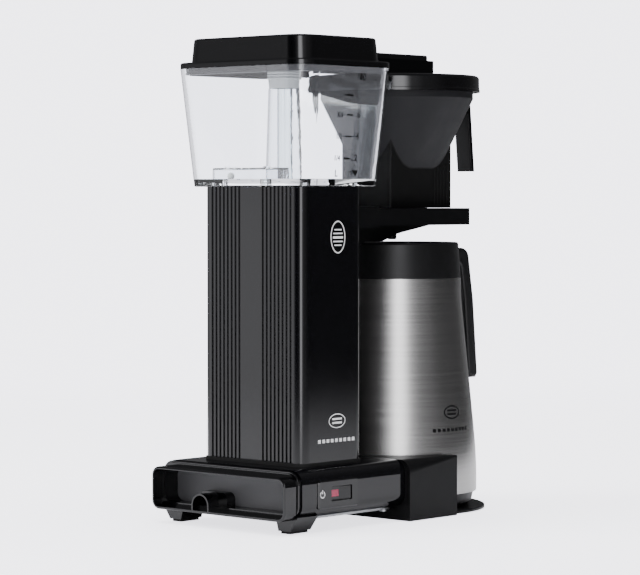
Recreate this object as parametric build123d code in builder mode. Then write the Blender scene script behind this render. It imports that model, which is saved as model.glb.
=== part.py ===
from build123d import *
import os
from math import cos, radians, sin, sqrt

# Filter coffee brewer with an insulated carafe, as separate pieces, in millimetres.
# The origin is the centre of the footprint at table level. +X runs from the cord end to the carafe
# handle, +Z is up, and the switch is on the -Y side.

os.makedirs("parts", exist_ok=True)

# Overall size
LENGTH = 312.6
WIDTH = 160.8
HEIGHT = 390.0
END_X = -LENGTH / 2
HALF_WIDTH = WIDTH / 2

# Clearances
GAP = 0.3
FIT = 0.1

# Base housing, a round-cornered tube along X
BASE_X0 = -138.0
BASE_X1 = -15.3
BASE_Z0 = 11.3
BASE_Z1 = 49.6
BASE_HALF = 75.3
BASE_R = 11.0
BASE_WALL = 2.5
BASE_MID_Z = (BASE_Z0 + BASE_Z1) / 2
BASE_TALL = BASE_Z1 - BASE_Z0

# End cap: its front is smaller than the housing, and a deep recess holds the cord outlet
CAP_Z0 = 10.8
CAP_Z1 = 45.3
CAP_HALF = 73.8
CAP_R = 7.5
LIP = 2.0
PANEL_X = -127.0
PANEL_THICK = 2.5
RECESS_STEP_X = -144.0
CORD_Y = 19.2
CORD_Z = 20.4
CORD_BORE = 3.4
GROMMET_R = 4.5
PAD_HEIGHT = 2.0

# Carafe bracket and the disc that the carafe stands on
GUARD_X1 = 44.7
GUARD_WALL = 3.0
BREW_X = 61.0
GUARD_CUT_R = 71.5
DISC_R = 74.9
DISC_THICK = 2.5
EAR_X = -3.0
EAR_Y = 52.0

# Column
COLUMN_X0 = -116.8
COLUMN_X1 = -42.8
COLUMN_MID = (COLUMN_X0 + COLUMN_X1) / 2
COLUMN_DEEP = COLUMN_X1 - COLUMN_X0
COLUMN_HALF = 54.85
COLUMN_R = 9.5
COLUMN_Z0 = 51.9
COLUMN_Z1 = 270.7
SHELL_WALL = 1.5
RIB_WALL = 2.6
RIB_PITCH = 4.3
RIB_FIRST = 13.0
RIB_COUNT = 8
GROOVE_WIDE = 2.0
GROOVE_DEEP = 1.3

# Water tank
TANK_X = -77.5
TANK_FOOT = (49.7, 63.9, 18.0)
TANK_RIM = (57.9, 72.75, 20.0)
TANK_WALL = 3.0
TANK_FLOOR_Z = 277.0
TANK_RIM_Z = 366.0
OUTLET_X = -107.0
OUTLET_Y = 30.0

# Tank lid
LID_FLANGE_Z = 370.7
LID_LOW = (51.0, 65.5, 18.0)
LID_TOP = (49.7, 63.9, 18.0)
LID_WALL = 2.5

# Outlet arm over the basket
ARM_HALF = 17.0
ARM_END_X = 90.0
ARM_Z0 = 366.3
ARM_Z1 = 377.7
ARM_CAP_Z1 = 382.3
ARM_CAP_END_X = 84.5
ARM_CAP_HALF = 15.5

# Basket and its shelf
SHELF_X1 = 111.6
SHELF_HALF = 40.0
SHELF_Z0 = 238.9
SHELF_Z1 = 253.0
SLOT_HALF = 8.5
BASKET_RIM_Z = 350.5
BASKET_CONE_Z = 345.4
BASKET_R = 64.5
BASKET_FLOOR_Z = 256.0
BASKET_WALL = 2.2
SKIRT_X = 39.65
SKIRT_Y = 27.6
BASKET_LID_R = 70.3
BASKET_LID_Z = 364.2
NOZZLE_X = 55.0
NOZZLE_TIP_Z = 226.6

# Carafe
CARAFE_FOOT_Z = 2.8
CARAFE_STEEL_Z0 = 14.5
CARAFE_STEEL_Z1 = 194.5
CARAFE_TOP_Z = 224.2
CARAFE_R = 68.0
NECK_R = 54.4
COLLAR_TOP_R = 52.3
LID_BORE_R = 46.5
LINER_INSET = 6.0

# Rocker switch
SWITCH_X = -93.5
SWITCH_Z = 29.5
ROCKER_PIVOT_Y = -70.1
ROCKER_HALF = 11.2
ROCKER_TILT = 7.0

BREW_AXIS = Axis((BREW_X, 0, 0), (0, 0, 1))
BREW_PLANE = Plane(origin=(BREW_X, 0, 0), x_dir=(1, 0, 0), z_dir=(0, -1, 0))


def write_piece(piece, node):
    """Label one finished piece and write it as its own STEP file."""
    piece.part.label = node
    export_step(piece.part, f"parts/{node}.step")


def rounded(size, inset=0.0):
    """A round-cornered rectangle from half length, half width and corner radius, in a sketch."""
    half_x, half_y, radius = size
    corner = max(radius - inset, 1.0)
    return RectangleRounded(2 * (half_x - inset), 2 * (half_y - inset), corner)


def end_outline(half, low, high, radius):
    """A round-cornered outline across the base, in a sketch on a plane across X."""
    with Locations((0, (low + high) / 2)):
        RectangleRounded(2 * half, high - low, radius)


def screw(x, y, z, direction, length, shank_r, head_r, head):
    """One screw: a shank from the seat point along the direction, with its head behind it."""
    seat = Plane(origin=(x, y, z), z_dir=direction)
    with BuildSketch(seat) as shank:
        Circle(shank_r)
    extrude(shank.sketch, amount=length)
    with BuildSketch(seat) as cap:
        Circle(head_r)
    extrude(cap.sketch, amount=-head)
    with BuildSketch(seat.offset(-head)) as drive:
        RegularPolygon(head_r * 0.42, 6)
    extrude(drive.sketch, amount=head * 0.5, mode=Mode.SUBTRACT)


# ---------------------------------------------------------------- base housing
# A tube of painted aluminium, open at both ends, with openings for the column, switch and base plate.
COLUMN_SCREWS = [(x, y) for x in (-109.5, -50.1) for y in (-30, 30)]
PLATE_X0 = -113.0
PLATE_X1 = -17.5
PLATE_HALF = 64.0
FOOT_STUD = (-128.0, 61.0)
PLATE_SCREWS = [(x, y) for x in (PLATE_X0 + 5, PLATE_X1 - 5) for y in (-58, 58)]
GUARD_SCREW_Y = 69.5
GUARD_SCREW_Z = (22.0, 38.0)
SWITCH_HALF_X = 13.2
SWITCH_HALF_Z = 6.25

with BuildPart() as base_housing:
    with BuildSketch(Plane.YZ.offset(BASE_X0)):
        end_outline(BASE_HALF, BASE_Z0, BASE_Z1, BASE_R)
    extrude(amount=BASE_X1 - BASE_X0)
    with BuildSketch(Plane.YZ.offset(BASE_X0)):
        end_outline(BASE_HALF - BASE_WALL, BASE_Z0 + BASE_WALL, BASE_Z1 - BASE_WALL, BASE_R - BASE_WALL)
    extrude(amount=BASE_X1 - BASE_X0, mode=Mode.SUBTRACT)
    # Screw bosses at the open end, for the carafe bracket
    with BuildSketch(Plane.YZ.offset(BASE_X1)):
        with Locations(*[(side * GUARD_SCREW_Y, z) for side in (-1, 1) for z in GUARD_SCREW_Z]):
            Circle(4.2)
    extrude(amount=-16)
    with BuildSketch(Plane.YZ.offset(BASE_X1)):
        with Locations(*[(side * GUARD_SCREW_Y, z) for side in (-1, 1) for z in GUARD_SCREW_Z]):
            Circle(1.55)
    extrude(amount=-14, mode=Mode.SUBTRACT)
    # Opening under the column and its four screw holes
    with BuildSketch(Plane.XY.offset(BASE_Z1)):
        with Locations((COLUMN_MID, 0)):
            RectangleRounded(48, 84, 4)
        with Locations(*COLUMN_SCREWS):
            Circle(1.7)
    extrude(amount=-BASE_WALL, mode=Mode.SUBTRACT)
    # Service opening behind the base plate and its four screw holes
    with BuildSketch(Plane.XY.offset(BASE_Z0)):
        with Locations(((PLATE_X0 + PLATE_X1) / 2, 0)):
            RectangleRounded(PLATE_X1 - PLATE_X0 - 22, 2 * PLATE_HALF - 24, 5)
        with Locations(*PLATE_SCREWS):
            Circle(1.6)
        with Locations(*[(FOOT_STUD[0], side * FOOT_STUD[1]) for side in (-1, 1)]):
            Circle(2.5)
    extrude(amount=BASE_WALL, mode=Mode.SUBTRACT)
    # Cut-out for the rocker switch
    with BuildSketch(Plane.XZ.offset(BASE_HALF)):
        with Locations((SWITCH_X, SWITCH_Z)):
            Rectangle(2 * SWITCH_HALF_X + 2 * FIT, 2 * SWITCH_HALF_Z + 2 * FIT)
    extrude(amount=-BASE_WALL - 1, mode=Mode.SUBTRACT)
write_piece(base_housing, "base_housing")

with BuildPart() as base_solid:
    with BuildSketch(Plane.YZ.offset(BASE_X0)):
        end_outline(BASE_HALF, BASE_Z0, BASE_Z1, BASE_R)
    extrude(amount=BASE_X1 - BASE_X0)

# ---------------------------------------------------------------- base plate
# Pressed steel service plate under the housing, with ventilation slots.
PLATE_THICK = 1.8
with BuildPart() as base_plate:
    with BuildSketch(Plane.XY.offset(BASE_Z0)):
        with Locations(((PLATE_X0 + PLATE_X1) / 2, 0)):
            RectangleRounded(PLATE_X1 - PLATE_X0, 2 * PLATE_HALF, 6)
        with Locations(*PLATE_SCREWS):
            Circle(1.6, mode=Mode.SUBTRACT)
        with Locations(*[(-95 + 9 * slot, 38) for slot in range(6)]):
            SlotOverall(26, 3, rotation=90, mode=Mode.SUBTRACT)
    extrude(amount=-PLATE_THICK)
write_piece(base_plate, "base_plate")

# ---------------------------------------------------------------- end cap
# Moulded cap: a tube with a rounded lip, a bead between two shadow grooves, and a spigot in the housing.
TUBE_END_X = -143.5
BEAD_X0 = -142.1
BEAD_X1 = -140.2
BEAD_INSET = 0.4
GROOVE_INSET = 2.0
SPIGOT_X = -132.0
SPIGOT_INSET = BASE_WALL + 0.15
STEP = 0.8
RECESS_WALL = 1.6
RECESS_GAP = 0.3
RECESS_HALF = BASE_HALF - BASE_WALL - RECESS_GAP - RECESS_WALL
RECESS_Z0 = BASE_Z0 + BASE_WALL + RECESS_GAP + RECESS_WALL
RECESS_Z1 = CAP_Z1 - LIP - STEP
RECESS_R = BASE_R - BASE_WALL - RECESS_GAP - RECESS_WALL
FLOOR_DROP = RECESS_Z0 - CAP_Z0 - LIP


def base_outline(inset):
    """The housing's outline set in by a distance, in a sketch on a plane across X."""
    end_outline(BASE_HALF - inset, BASE_Z0 + inset, BASE_Z1 - inset, BASE_R - inset)


def recess_outline(outset):
    """The recess outline with a wall thickness added, in a sketch on a plane across X."""
    end_outline(RECESS_HALF + outset, RECESS_Z0 - outset, RECESS_Z1 + outset, RECESS_R + outset)


with BuildPart() as end_cap:
    with BuildSketch(Plane.YZ.offset(BEAD_X0)):
        base_outline(BEAD_INSET)
    extrude(amount=BEAD_X1 - BEAD_X0)
    fillet(end_cap.faces().filter_by(Axis.X).edges(), 0.7)
    # The bottom of the two grooves beside the bead
    with BuildSketch(Plane.YZ.offset(TUBE_END_X)):
        base_outline(GROOVE_INSET)
    extrude(amount=BASE_X0 - TUBE_END_X)
    with BuildSketch(Plane.YZ.offset(END_X)):
        end_outline(CAP_HALF, CAP_Z0, CAP_Z1, CAP_R)
    extrude(amount=TUBE_END_X - END_X)
    fillet(end_cap.faces().sort_by(Axis.X)[0].edges(), 1.3)
    # Spigot that fits inside the housing, and the recess wall that runs on behind it
    with BuildSketch(Plane.YZ.offset(BASE_X0)):
        base_outline(SPIGOT_INSET)
    extrude(amount=SPIGOT_X - BASE_X0)
    with BuildSketch(Plane.YZ.offset(SPIGOT_X)):
        recess_outline(RECESS_WALL)
    extrude(amount=PANEL_X - SPIGOT_X)
    # The recess, with a small step part of the way in
    with BuildSketch(Plane.YZ.offset(END_X)):
        end_outline(CAP_HALF - LIP, CAP_Z0 + LIP, CAP_Z1 - LIP, CAP_R - LIP)
    extrude(amount=RECESS_STEP_X - END_X, mode=Mode.SUBTRACT)
    with BuildSketch(Plane.YZ.offset(RECESS_STEP_X)):
        recess_outline(0.0)
    extrude(amount=PANEL_X - RECESS_STEP_X, mode=Mode.SUBTRACT)
write_piece(end_cap, "end_cap")

# ---------------------------------------------------------------- end panel
# Flat panel that closes the recess, with the hole for the cord grommet.
with BuildPart() as end_panel:
    with BuildSketch(Plane.YZ.offset(PANEL_X)):
        recess_outline(-FIT)
        with Locations((CORD_Y, CORD_Z)):
            Circle(GROMMET_R, mode=Mode.SUBTRACT)
    extrude(amount=-PANEL_THICK)
write_piece(end_panel, "end_panel")

# ---------------------------------------------------------------- cord tunnel
# Half-round cover on the recess floor. A wider shoulder joins it to the panel.
TUNNEL_R = 9.6
TUNNEL_WALL = 1.5
SHOULDER_X = -139.0
SHOULDER_HALF = 13.8
TUNNEL_TOP = 26.6


def arch(half, top, floor):
    """An arch that stands on the recess floor, in a sketch on a plane across X."""
    with BuildLine() as outline:
        Line((CORD_Y - half, floor), (CORD_Y + half, floor))
        Line((CORD_Y + half, floor), (CORD_Y + half, top - half))
        RadiusArc((CORD_Y + half, top - half), (CORD_Y - half, top - half), -half)
        Line((CORD_Y - half, top - half), (CORD_Y - half, floor))
    make_face(outline.line)


with BuildPart() as cord_tunnel:
    with BuildSketch(Plane.YZ.offset(END_X + 0.5)):
        arch(TUNNEL_R, TUNNEL_TOP, RECESS_Z0)
    extrude(amount=SHOULDER_X - END_X - 0.5)
    # Two strips under its edges reach down to the floor in front of the step
    with BuildSketch(Plane.YZ.offset(END_X + 0.5)):
        with Locations(*[(CORD_Y + side * (TUNNEL_R - TUNNEL_WALL / 2), RECESS_Z0 - FLOOR_DROP / 2) for side in (-1, 1)]):
            Rectangle(TUNNEL_WALL, FLOOR_DROP)
    extrude(amount=RECESS_STEP_X - END_X - 0.5)
    with BuildSketch(Plane.YZ.offset(SHOULDER_X)):
        with Locations((CORD_Y, (RECESS_Z0 + TUNNEL_TOP) / 2)):
            Rectangle(2 * SHOULDER_HALF, TUNNEL_TOP - RECESS_Z0)
    extrude(amount=PANEL_X - PANEL_THICK - SHOULDER_X)
    shoulder_edges = cord_tunnel.edges().filter_by(Axis.X).group_by(Axis.Z)[-1]
    fillet(shoulder_edges.sort_by(Axis.Y)[0], 6)
    with BuildSketch(Plane.YZ.offset(END_X)):
        arch(TUNNEL_R - TUNNEL_WALL, TUNNEL_TOP - TUNNEL_WALL, RECESS_Z0 - 1)
    extrude(amount=PANEL_X - PANEL_THICK - END_X, mode=Mode.SUBTRACT)
write_piece(cord_tunnel, "cord_tunnel")

# ---------------------------------------------------------------- cord grommet
# Rubber bush in the panel, with a flange behind it. The power cord comes out through it.
GROMMET_NOSE = 4.0
GROMMET_FLANGE = 2.0
with BuildPart() as cord_grommet:
    with BuildSketch(Plane.YZ.offset(PANEL_X - PANEL_THICK - GROMMET_NOSE)):
        with Locations((CORD_Y, CORD_Z)):
            Circle(GROMMET_R)
    extrude(amount=PANEL_THICK + GROMMET_NOSE)
    with BuildSketch(Plane.YZ.offset(PANEL_X)):
        with Locations((CORD_Y, CORD_Z)):
            Circle(GROMMET_R + 2)
    extrude(amount=GROMMET_FLANGE)
    with BuildSketch(Plane.YZ.offset(PANEL_X + GROMMET_FLANGE)):
        with Locations((CORD_Y, CORD_Z)):
            Circle(CORD_BORE)
    extrude(amount=-PANEL_THICK - GROMMET_NOSE - GROMMET_FLANGE, mode=Mode.SUBTRACT)
write_piece(cord_grommet, "cord_grommet")

# ---------------------------------------------------------------- corner feet and their pads
# Two moulded feet under the housing, shaped to its underside. A stud on each goes through its floor.
FOOT_X0 = -142.6
FOOT_X1 = -119.0
STUD_R = 2.4
with BuildPart() as corner_feet:
    for side in (-1, 1):
        with BuildSketch(Plane.YZ.offset(FOOT_X0)):
            Polygon((side * 51, 13), (side * 54, PAD_HEIGHT), (side * 66.5, PAD_HEIGHT), (side * 74.6, 13.5),
                    (side * 70, 18), align=None)
        extrude(amount=FOOT_X1 - FOOT_X0)
    add(base_solid.part, mode=Mode.SUBTRACT)
    with BuildSketch(Plane.YZ.offset(FOOT_X0)):
        base_outline(0.0)
    extrude(amount=BASE_X0 - FOOT_X0, mode=Mode.SUBTRACT)
    with BuildSketch(Plane.XY.offset(BASE_Z0 - 2)):
        with Locations(*[(FOOT_STUD[0], side * FOOT_STUD[1]) for side in (-1, 1)]):
            Circle(STUD_R)
    extrude(amount=2 + BASE_WALL)
write_piece(corner_feet, "corner_feet")

with BuildPart() as foot_pads:
    with BuildSketch(Plane.XY):
        with Locations(*[((FOOT_X0 + FOOT_X1) / 2, side * 60.25) for side in (-1, 1)]):
            RectangleRounded(21, 10.5, 1.5)
    extrude(amount=PAD_HEIGHT)
write_piece(foot_pads, "foot_pads")

# ---------------------------------------------------------------- carafe bracket
# Moulded bracket that continues the housing and wraps the carafe. Its top edges are round at the
# housing and become sharp at the far end.


def bracket_outline(half, height, radius):
    """Upright outline with two rounded top corners, in a sketch on a plane across X."""
    with BuildLine() as outline:
        Line((-half, 0), (half, 0))
        Line((half, 0), (half, height - radius))
        RadiusArc((half, height - radius), (half - radius, height), -radius)
        Line((half - radius, height), (radius - half, height))
        RadiusArc((radius - half, height), (-half, height - radius), -radius)
        Line((-half, height - radius), (-half, 0))
    make_face(outline.line)


with BuildPart() as bracket_hollow:
    with BuildSketch(Plane.YZ.offset(BASE_X1 + GUARD_WALL)):
        bracket_outline(HALF_WIDTH - GUARD_WALL, BASE_Z1 - GUARD_WALL, 8)
    with BuildSketch(Plane.YZ.offset(GUARD_X1 - GUARD_WALL)):
        bracket_outline(HALF_WIDTH - GUARD_WALL, BASE_Z1 - GUARD_WALL, 1)
    loft(ruled=True)
    with BuildSketch(Plane.XY.offset(-1)):
        with Locations((BREW_X, 0)):
            Circle(GUARD_CUT_R + GUARD_WALL)
    extrude(amount=BASE_Z1 + 2, mode=Mode.SUBTRACT)
    # Two bosses for the disc screws are left standing in the hollow
    with BuildSketch(Plane.XY.offset(-1)):
        with Locations(*[(EAR_X, side * EAR_Y) for side in (-1, 1)]):
            Circle(4.5)
    extrude(amount=BASE_Z1 + 2, mode=Mode.SUBTRACT)

with BuildPart() as carafe_bracket:
    with BuildSketch(Plane.YZ.offset(BASE_X1)):
        bracket_outline(HALF_WIDTH, BASE_Z1, 11)
    with BuildSketch(Plane.YZ.offset(GUARD_X1)):
        bracket_outline(HALF_WIDTH, BASE_Z1, 1.2)
    loft(ruled=True)
    with BuildSketch(Plane.XY.offset(-1)):
        with Locations((BREW_X, 0)):
            Circle(GUARD_CUT_R)
    extrude(amount=BASE_Z1 + 2, mode=Mode.SUBTRACT)
    add(bracket_hollow.part, mode=Mode.SUBTRACT)
    # Room for the disc and its two ears
    with BuildSketch(Plane.XY.offset(-1)):
        with Locations((BREW_X, 0)):
            Circle(DISC_R + GAP)
        with Locations(*[(EAR_X + 9, side * EAR_Y) for side in (-1, 1)]):
            Rectangle(30, 13)
    extrude(amount=1 + DISC_THICK, mode=Mode.SUBTRACT)
    with BuildSketch(Plane.XY):
        with Locations(*[(EAR_X, side * EAR_Y) for side in (-1, 1)]):
            Circle(1.6)
    extrude(amount=16, mode=Mode.SUBTRACT)
    # Holes for the screws into the housing
    with BuildSketch(Plane.YZ.offset(BASE_X1)):
        with Locations(*[(side * GUARD_SCREW_Y, z) for side in (-1, 1) for z in GUARD_SCREW_Z]):
            Circle(1.7)
    extrude(amount=GUARD_WALL, mode=Mode.SUBTRACT)
write_piece(carafe_bracket, "carafe_bracket")

# ---------------------------------------------------------------- carafe disc
with BuildPart() as carafe_disc:
    with BuildSketch(Plane.XY):
        with Locations((BREW_X, 0)):
            Circle(DISC_R)
        with Locations(*[(EAR_X + 9, side * EAR_Y) for side in (-1, 1)]):
            Rectangle(29, 12)
        with Locations(*[(EAR_X, side * EAR_Y) for side in (-1, 1)]):
            Circle(3.1, mode=Mode.SUBTRACT)
    extrude(amount=DISC_THICK)
    fillet(carafe_disc.faces().sort_by(Axis.Z)[-1].edges().filter_by(GeomType.CIRCLE).sort_by(
        SortBy.LENGTH)[-1:], 0.8)
write_piece(carafe_disc, "carafe_disc")

# Ten equal screws hold the base plate, the bracket and the disc.
with BuildPart() as base_screws:
    for x, y in PLATE_SCREWS:
        screw(x, y, BASE_Z0 - PLATE_THICK, (0, 0, 1), 10, 1.5, 3.0, 2.2)
    for side in (-1, 1):
        screw(EAR_X, side * EAR_Y, DISC_THICK, (0, 0, 1), 10, 1.5, 3.0, 2.2)
        for z in GUARD_SCREW_Z:
            screw(BASE_X1 + GUARD_WALL, side * GUARD_SCREW_Y, z, (-1, 0, 0), 10, 1.5, 3.0, 2.2)
write_piece(base_screws, "base_screws")

# ---------------------------------------------------------------- rocker switch
# A bevelled plate on the housing frames the switch. The switch body holds the rocker's trunnions.
SWITCH_PLATE_X = -97.0
SWITCH_PLATE_Z = 29.1
SWITCH_PLATE_THICK = 1.4
OPENING_HALF_X = 12.1
OPENING_HALF_Z = 5.85

with BuildPart() as switch_plate:
    with BuildSketch(Plane.XZ.offset(BASE_HALF)):
        with Locations((SWITCH_PLATE_X, SWITCH_PLATE_Z)):
            RectangleRounded(46.8, 22.5, 2)
    extrude(amount=SWITCH_PLATE_THICK)
    chamfer(switch_plate.faces().sort_by(Axis.Y)[0].edges(), 1.0)
    with BuildSketch(Plane.XZ.offset(BASE_HALF + SWITCH_PLATE_THICK)):
        with Locations((SWITCH_X, SWITCH_Z)):
            RectangleRounded(2 * OPENING_HALF_X, 2 * OPENING_HALF_Z, 1)
    extrude(amount=-SWITCH_PLATE_THICK, mode=Mode.SUBTRACT)
write_piece(switch_plate, "switch_plate")

CAVITY_HALF_Z = 5.3
with BuildPart() as switch_body:
    with BuildSketch(Plane.XZ.offset(BASE_HALF)):
        with Locations((SWITCH_X, SWITCH_Z)):
            Rectangle(2 * SWITCH_HALF_X, 2 * SWITCH_HALF_Z)
    extrude(amount=-19)
    with BuildSketch(Plane.XZ.offset(BASE_HALF)):
        with Locations((SWITCH_X, SWITCH_Z)):
            Rectangle(2 * OPENING_HALF_X, 2 * CAVITY_HALF_Z)
    extrude(amount=-9.5, mode=Mode.SUBTRACT)
    with BuildSketch(Plane.XY.offset(SWITCH_Z - 6.0)):
        with Locations((SWITCH_X, ROCKER_PIVOT_Y)):
            Circle(1.36)
    extrude(amount=12, mode=Mode.SUBTRACT)
write_piece(switch_body, "switch_body")

with BuildPart() as switch_terminals:
    for x in (SWITCH_X - 8, SWITCH_X, SWITCH_X + 8):
        with BuildSketch(Plane.XZ.offset(BASE_HALF - 19)):
            with Locations((x, SWITCH_Z)):
                Rectangle(0.8, 6.3)
        extrude(amount=-8)
write_piece(switch_terminals, "switch_terminals")

# The rocker's face is a shallow V. At rest it is tilted with its lens end pressed in.
LENS_OUT = 9.2
LENS_IN = 0.5
FACE_RISE = 1.3 / ROCKER_HALF
FACE_MID = 3.9
TRUNNION_R = 1.3


def tilted(points):
    """Points about the rocker's pivot, x along the face and y outwards, turned to the rest tilt."""
    turn = radians(ROCKER_TILT)
    placed = []
    for x, y in points:
        across = x * cos(turn) - y * sin(turn)
        out = x * sin(turn) + y * cos(turn)
        placed.append((SWITCH_X + across, ROCKER_PIVOT_Y - out))
    return placed


def face_height(x):
    """Height of the rocker's V-shaped face at the distance x from its pivot."""
    return FACE_MID + abs(x) * FACE_RISE


lens_points = tilted([
    (-LENS_OUT, face_height(LENS_OUT) - 1.2),
    (-LENS_OUT, face_height(LENS_OUT)),
    (-LENS_IN, face_height(LENS_IN)),
    (-LENS_IN, face_height(LENS_IN) - 1.2),
])
with BuildPart() as rocker_lens:
    with BuildSketch(Plane.XY.offset(SWITCH_Z - 2.7)):
        Polygon(*lens_points, align=None)
    extrude(amount=5.4)
write_piece(rocker_lens, "rocker_lens")

rocker_points = tilted([
    (-ROCKER_HALF, -0.5),
    (-ROCKER_HALF, face_height(ROCKER_HALF)),
    (0, FACE_MID),
    (ROCKER_HALF, face_height(ROCKER_HALF)),
    (ROCKER_HALF, -0.5),
    (3, -2.4),
    (-3, -2.4),
])
with BuildPart() as rocker:
    with BuildSketch(Plane.XY.offset(SWITCH_Z - 5.0)):
        Polygon(*rocker_points, align=None)
    extrude(amount=10)
    with BuildSketch(Plane.XY.offset(SWITCH_Z - 5.9)):
        with Locations((SWITCH_X, ROCKER_PIVOT_Y)):
            Circle(TRUNNION_R)
    extrude(amount=11.8)
    add(rocker_lens.part, mode=Mode.SUBTRACT)
write_piece(rocker, "rocker")

# ---------------------------------------------------------------- supply terminal block
with BuildPart() as terminal_block:
    with BuildSketch(Plane.XY.offset(BASE_Z0)):
        with Locations((-40, -18)):
            RectangleRounded(16, 34, 1)
    extrude(amount=14)
    with BuildSketch(Plane.XY.offset(BASE_Z0 + 14)):
        with Locations(*[(-40, -29 + 11 * pole) for pole in range(3)]):
            Circle(2.5)
    extrude(amount=-8, mode=Mode.SUBTRACT)
write_piece(terminal_block, "terminal_block")

# ---------------------------------------------------------------- column gasket
with BuildPart() as column_gasket:
    with BuildSketch(Plane.XY.offset(BASE_Z1)):
        with Locations((COLUMN_MID, 0)):
            RectangleRounded(COLUMN_DEEP + 2.4, 2 * COLUMN_HALF + 2.4, COLUMN_R + 1.2)
            RectangleRounded(50, 86, 4, mode=Mode.SUBTRACT)
        with Locations(*COLUMN_SCREWS):
            Circle(1.7, mode=Mode.SUBTRACT)
    extrude(amount=COLUMN_Z0 - BASE_Z1)
write_piece(column_gasket, "column_gasket")

# ---------------------------------------------------------------- column shell
# U-shaped aluminium shell with two groups of upright grooves on its outer face.
SHELL_MOUTH_HALF = 46.0
GROOVE_Y = [side * (RIB_FIRST + RIB_PITCH * i) for side in (-1, 1) for i in range(RIB_COUNT)]

with BuildPart() as column_shell:
    with BuildSketch(Plane.XY.offset(COLUMN_Z0)):
        with Locations((COLUMN_MID, 0)):
            RectangleRounded(COLUMN_DEEP, 2 * COLUMN_HALF, COLUMN_R)
        with Locations((COLUMN_MID + (RIB_WALL - SHELL_WALL) / 2, 0)):
            RectangleRounded(COLUMN_DEEP - RIB_WALL - SHELL_WALL, 2 * (COLUMN_HALF - SHELL_WALL),
                             COLUMN_R - SHELL_WALL, mode=Mode.SUBTRACT)
        with Locations((COLUMN_X1, 0)):
            Rectangle(10, 2 * SHELL_MOUTH_HALF, mode=Mode.SUBTRACT)
        with Locations(*[(COLUMN_X0, y) for y in GROOVE_Y]):
            Rectangle(2 * GROOVE_DEEP, GROOVE_WIDE, mode=Mode.SUBTRACT)
    extrude(amount=COLUMN_Z1 - COLUMN_Z0)
write_piece(column_shell, "column_shell")

# ---------------------------------------------------------------- column cover
# Plastic cover in the open side of the shell. It carries the basket shelf.
COVER_X1 = COLUMN_X1 - 0.5
COVER_BACK_X = COLUMN_X1 - SHELL_WALL - 0.6
COVER_THICK = 2.5
HOLDER_SCREWS = [(y, z) for y in (-30, 30) for z in (242.5, 251.5)]

with BuildPart() as column_cover:
    with BuildSketch(Plane.XY.offset(COLUMN_Z0)):
        with Locations(((COVER_X1 + COVER_BACK_X) / 2, 0)):
            Rectangle(COVER_X1 - COVER_BACK_X, 2 * SHELL_MOUTH_HALF - 2 * FIT)
        with Locations((COVER_BACK_X - COVER_THICK / 2, 0)):
            Rectangle(COVER_THICK, 2 * SHELL_MOUTH_HALF + 4)
        with Locations(*[(COVER_BACK_X - COVER_THICK - 2.4, side * 38) for side in (-1, 1)]):
            Rectangle(5, 2)
    extrude(amount=COLUMN_Z1 - COLUMN_Z0)
    with BuildSketch(Plane.YZ.offset(COVER_X1)):
        with Locations(*HOLDER_SCREWS):
            Circle(1.7)
    extrude(amount=-8, mode=Mode.SUBTRACT)
write_piece(column_cover, "column_cover")

# ---------------------------------------------------------------- column foot and top plate
FOOT_PLATE = 4.0
with BuildPart() as column_foot:
    with BuildSketch(Plane.XY.offset(COLUMN_Z0)):
        with Locations((-80.7, 0)):
            RectangleRounded(66, 100, 5)
            RectangleRounded(50, 84, 4, mode=Mode.SUBTRACT)
        with Locations(*COLUMN_SCREWS):
            Circle(1.55, mode=Mode.SUBTRACT)
        with Locations(*[(-48.5, side * 38) for side in (-1, 1)]):
            Rectangle(8, 3, mode=Mode.SUBTRACT)
    extrude(amount=FOOT_PLATE)
write_piece(column_foot, "column_foot")

with BuildPart() as column_screws:
    for x, y in COLUMN_SCREWS:
        screw(x, y, BASE_Z1 - BASE_WALL, (0, 0, 1), 8.5, 1.5, 2.9, 2.0)
write_piece(column_screws, "column_screws")

TOP_PLATE = 3.5
TANK_SCREWS = [(TANK_X + 26 * sx, 44 * sy) for sx in (-1, 1) for sy in (-1, 1)]
with BuildPart() as column_top:
    with BuildSketch(Plane.XY.offset(COLUMN_Z1 - TOP_PLATE)):
        with Locations((-80.7, 0)):
            RectangleRounded(66, 100, 5)
        with Locations((TANK_X, 0)):
            Circle(9, mode=Mode.SUBTRACT)
        with Locations((OUTLET_X, OUTLET_Y)):
            Circle(5.3, mode=Mode.SUBTRACT)
        with Locations(*TANK_SCREWS):
            Circle(1.7, mode=Mode.SUBTRACT)
        with Locations(*[(-48.5, side * 38) for side in (-1, 1)]):
            Rectangle(8, 3, mode=Mode.SUBTRACT)
    extrude(amount=TOP_PLATE)
write_piece(column_top, "column_top")

with BuildPart() as tank_screws:
    for x, y in TANK_SCREWS:
        screw(x, y, COLUMN_Z1 - TOP_PLATE, (0, 0, 1), 7, 1.5, 3.0, 2.2)
write_piece(tank_screws, "tank_screws")

# ---------------------------------------------------------------- boiler
# Copper water tube bent into a U, with a sheathed heating rod alongside, held by two clamps.
BOILER_HALF = 18.0
BOILER_TOP = 212.0
BOILER_LOW = 92.0
TUBE_R = 5.0
TUBE_BORE = 4.1
ROD_R = 4.0
ROD_X = TANK_X + TUBE_R + ROD_R + 0.15


def u_bend(x, top):
    """A U-shaped path across the column: down, round the bottom and up again."""
    with BuildLine(Plane.YZ.offset(x)) as route:
        Line((BOILER_HALF, top), (BOILER_HALF, BOILER_LOW))
        ThreePointArc((BOILER_HALF, BOILER_LOW), (0, BOILER_LOW - BOILER_HALF), (-BOILER_HALF, BOILER_LOW))
        Line((-BOILER_HALF, BOILER_LOW), (-BOILER_HALF, top))
    return route.line


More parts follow.
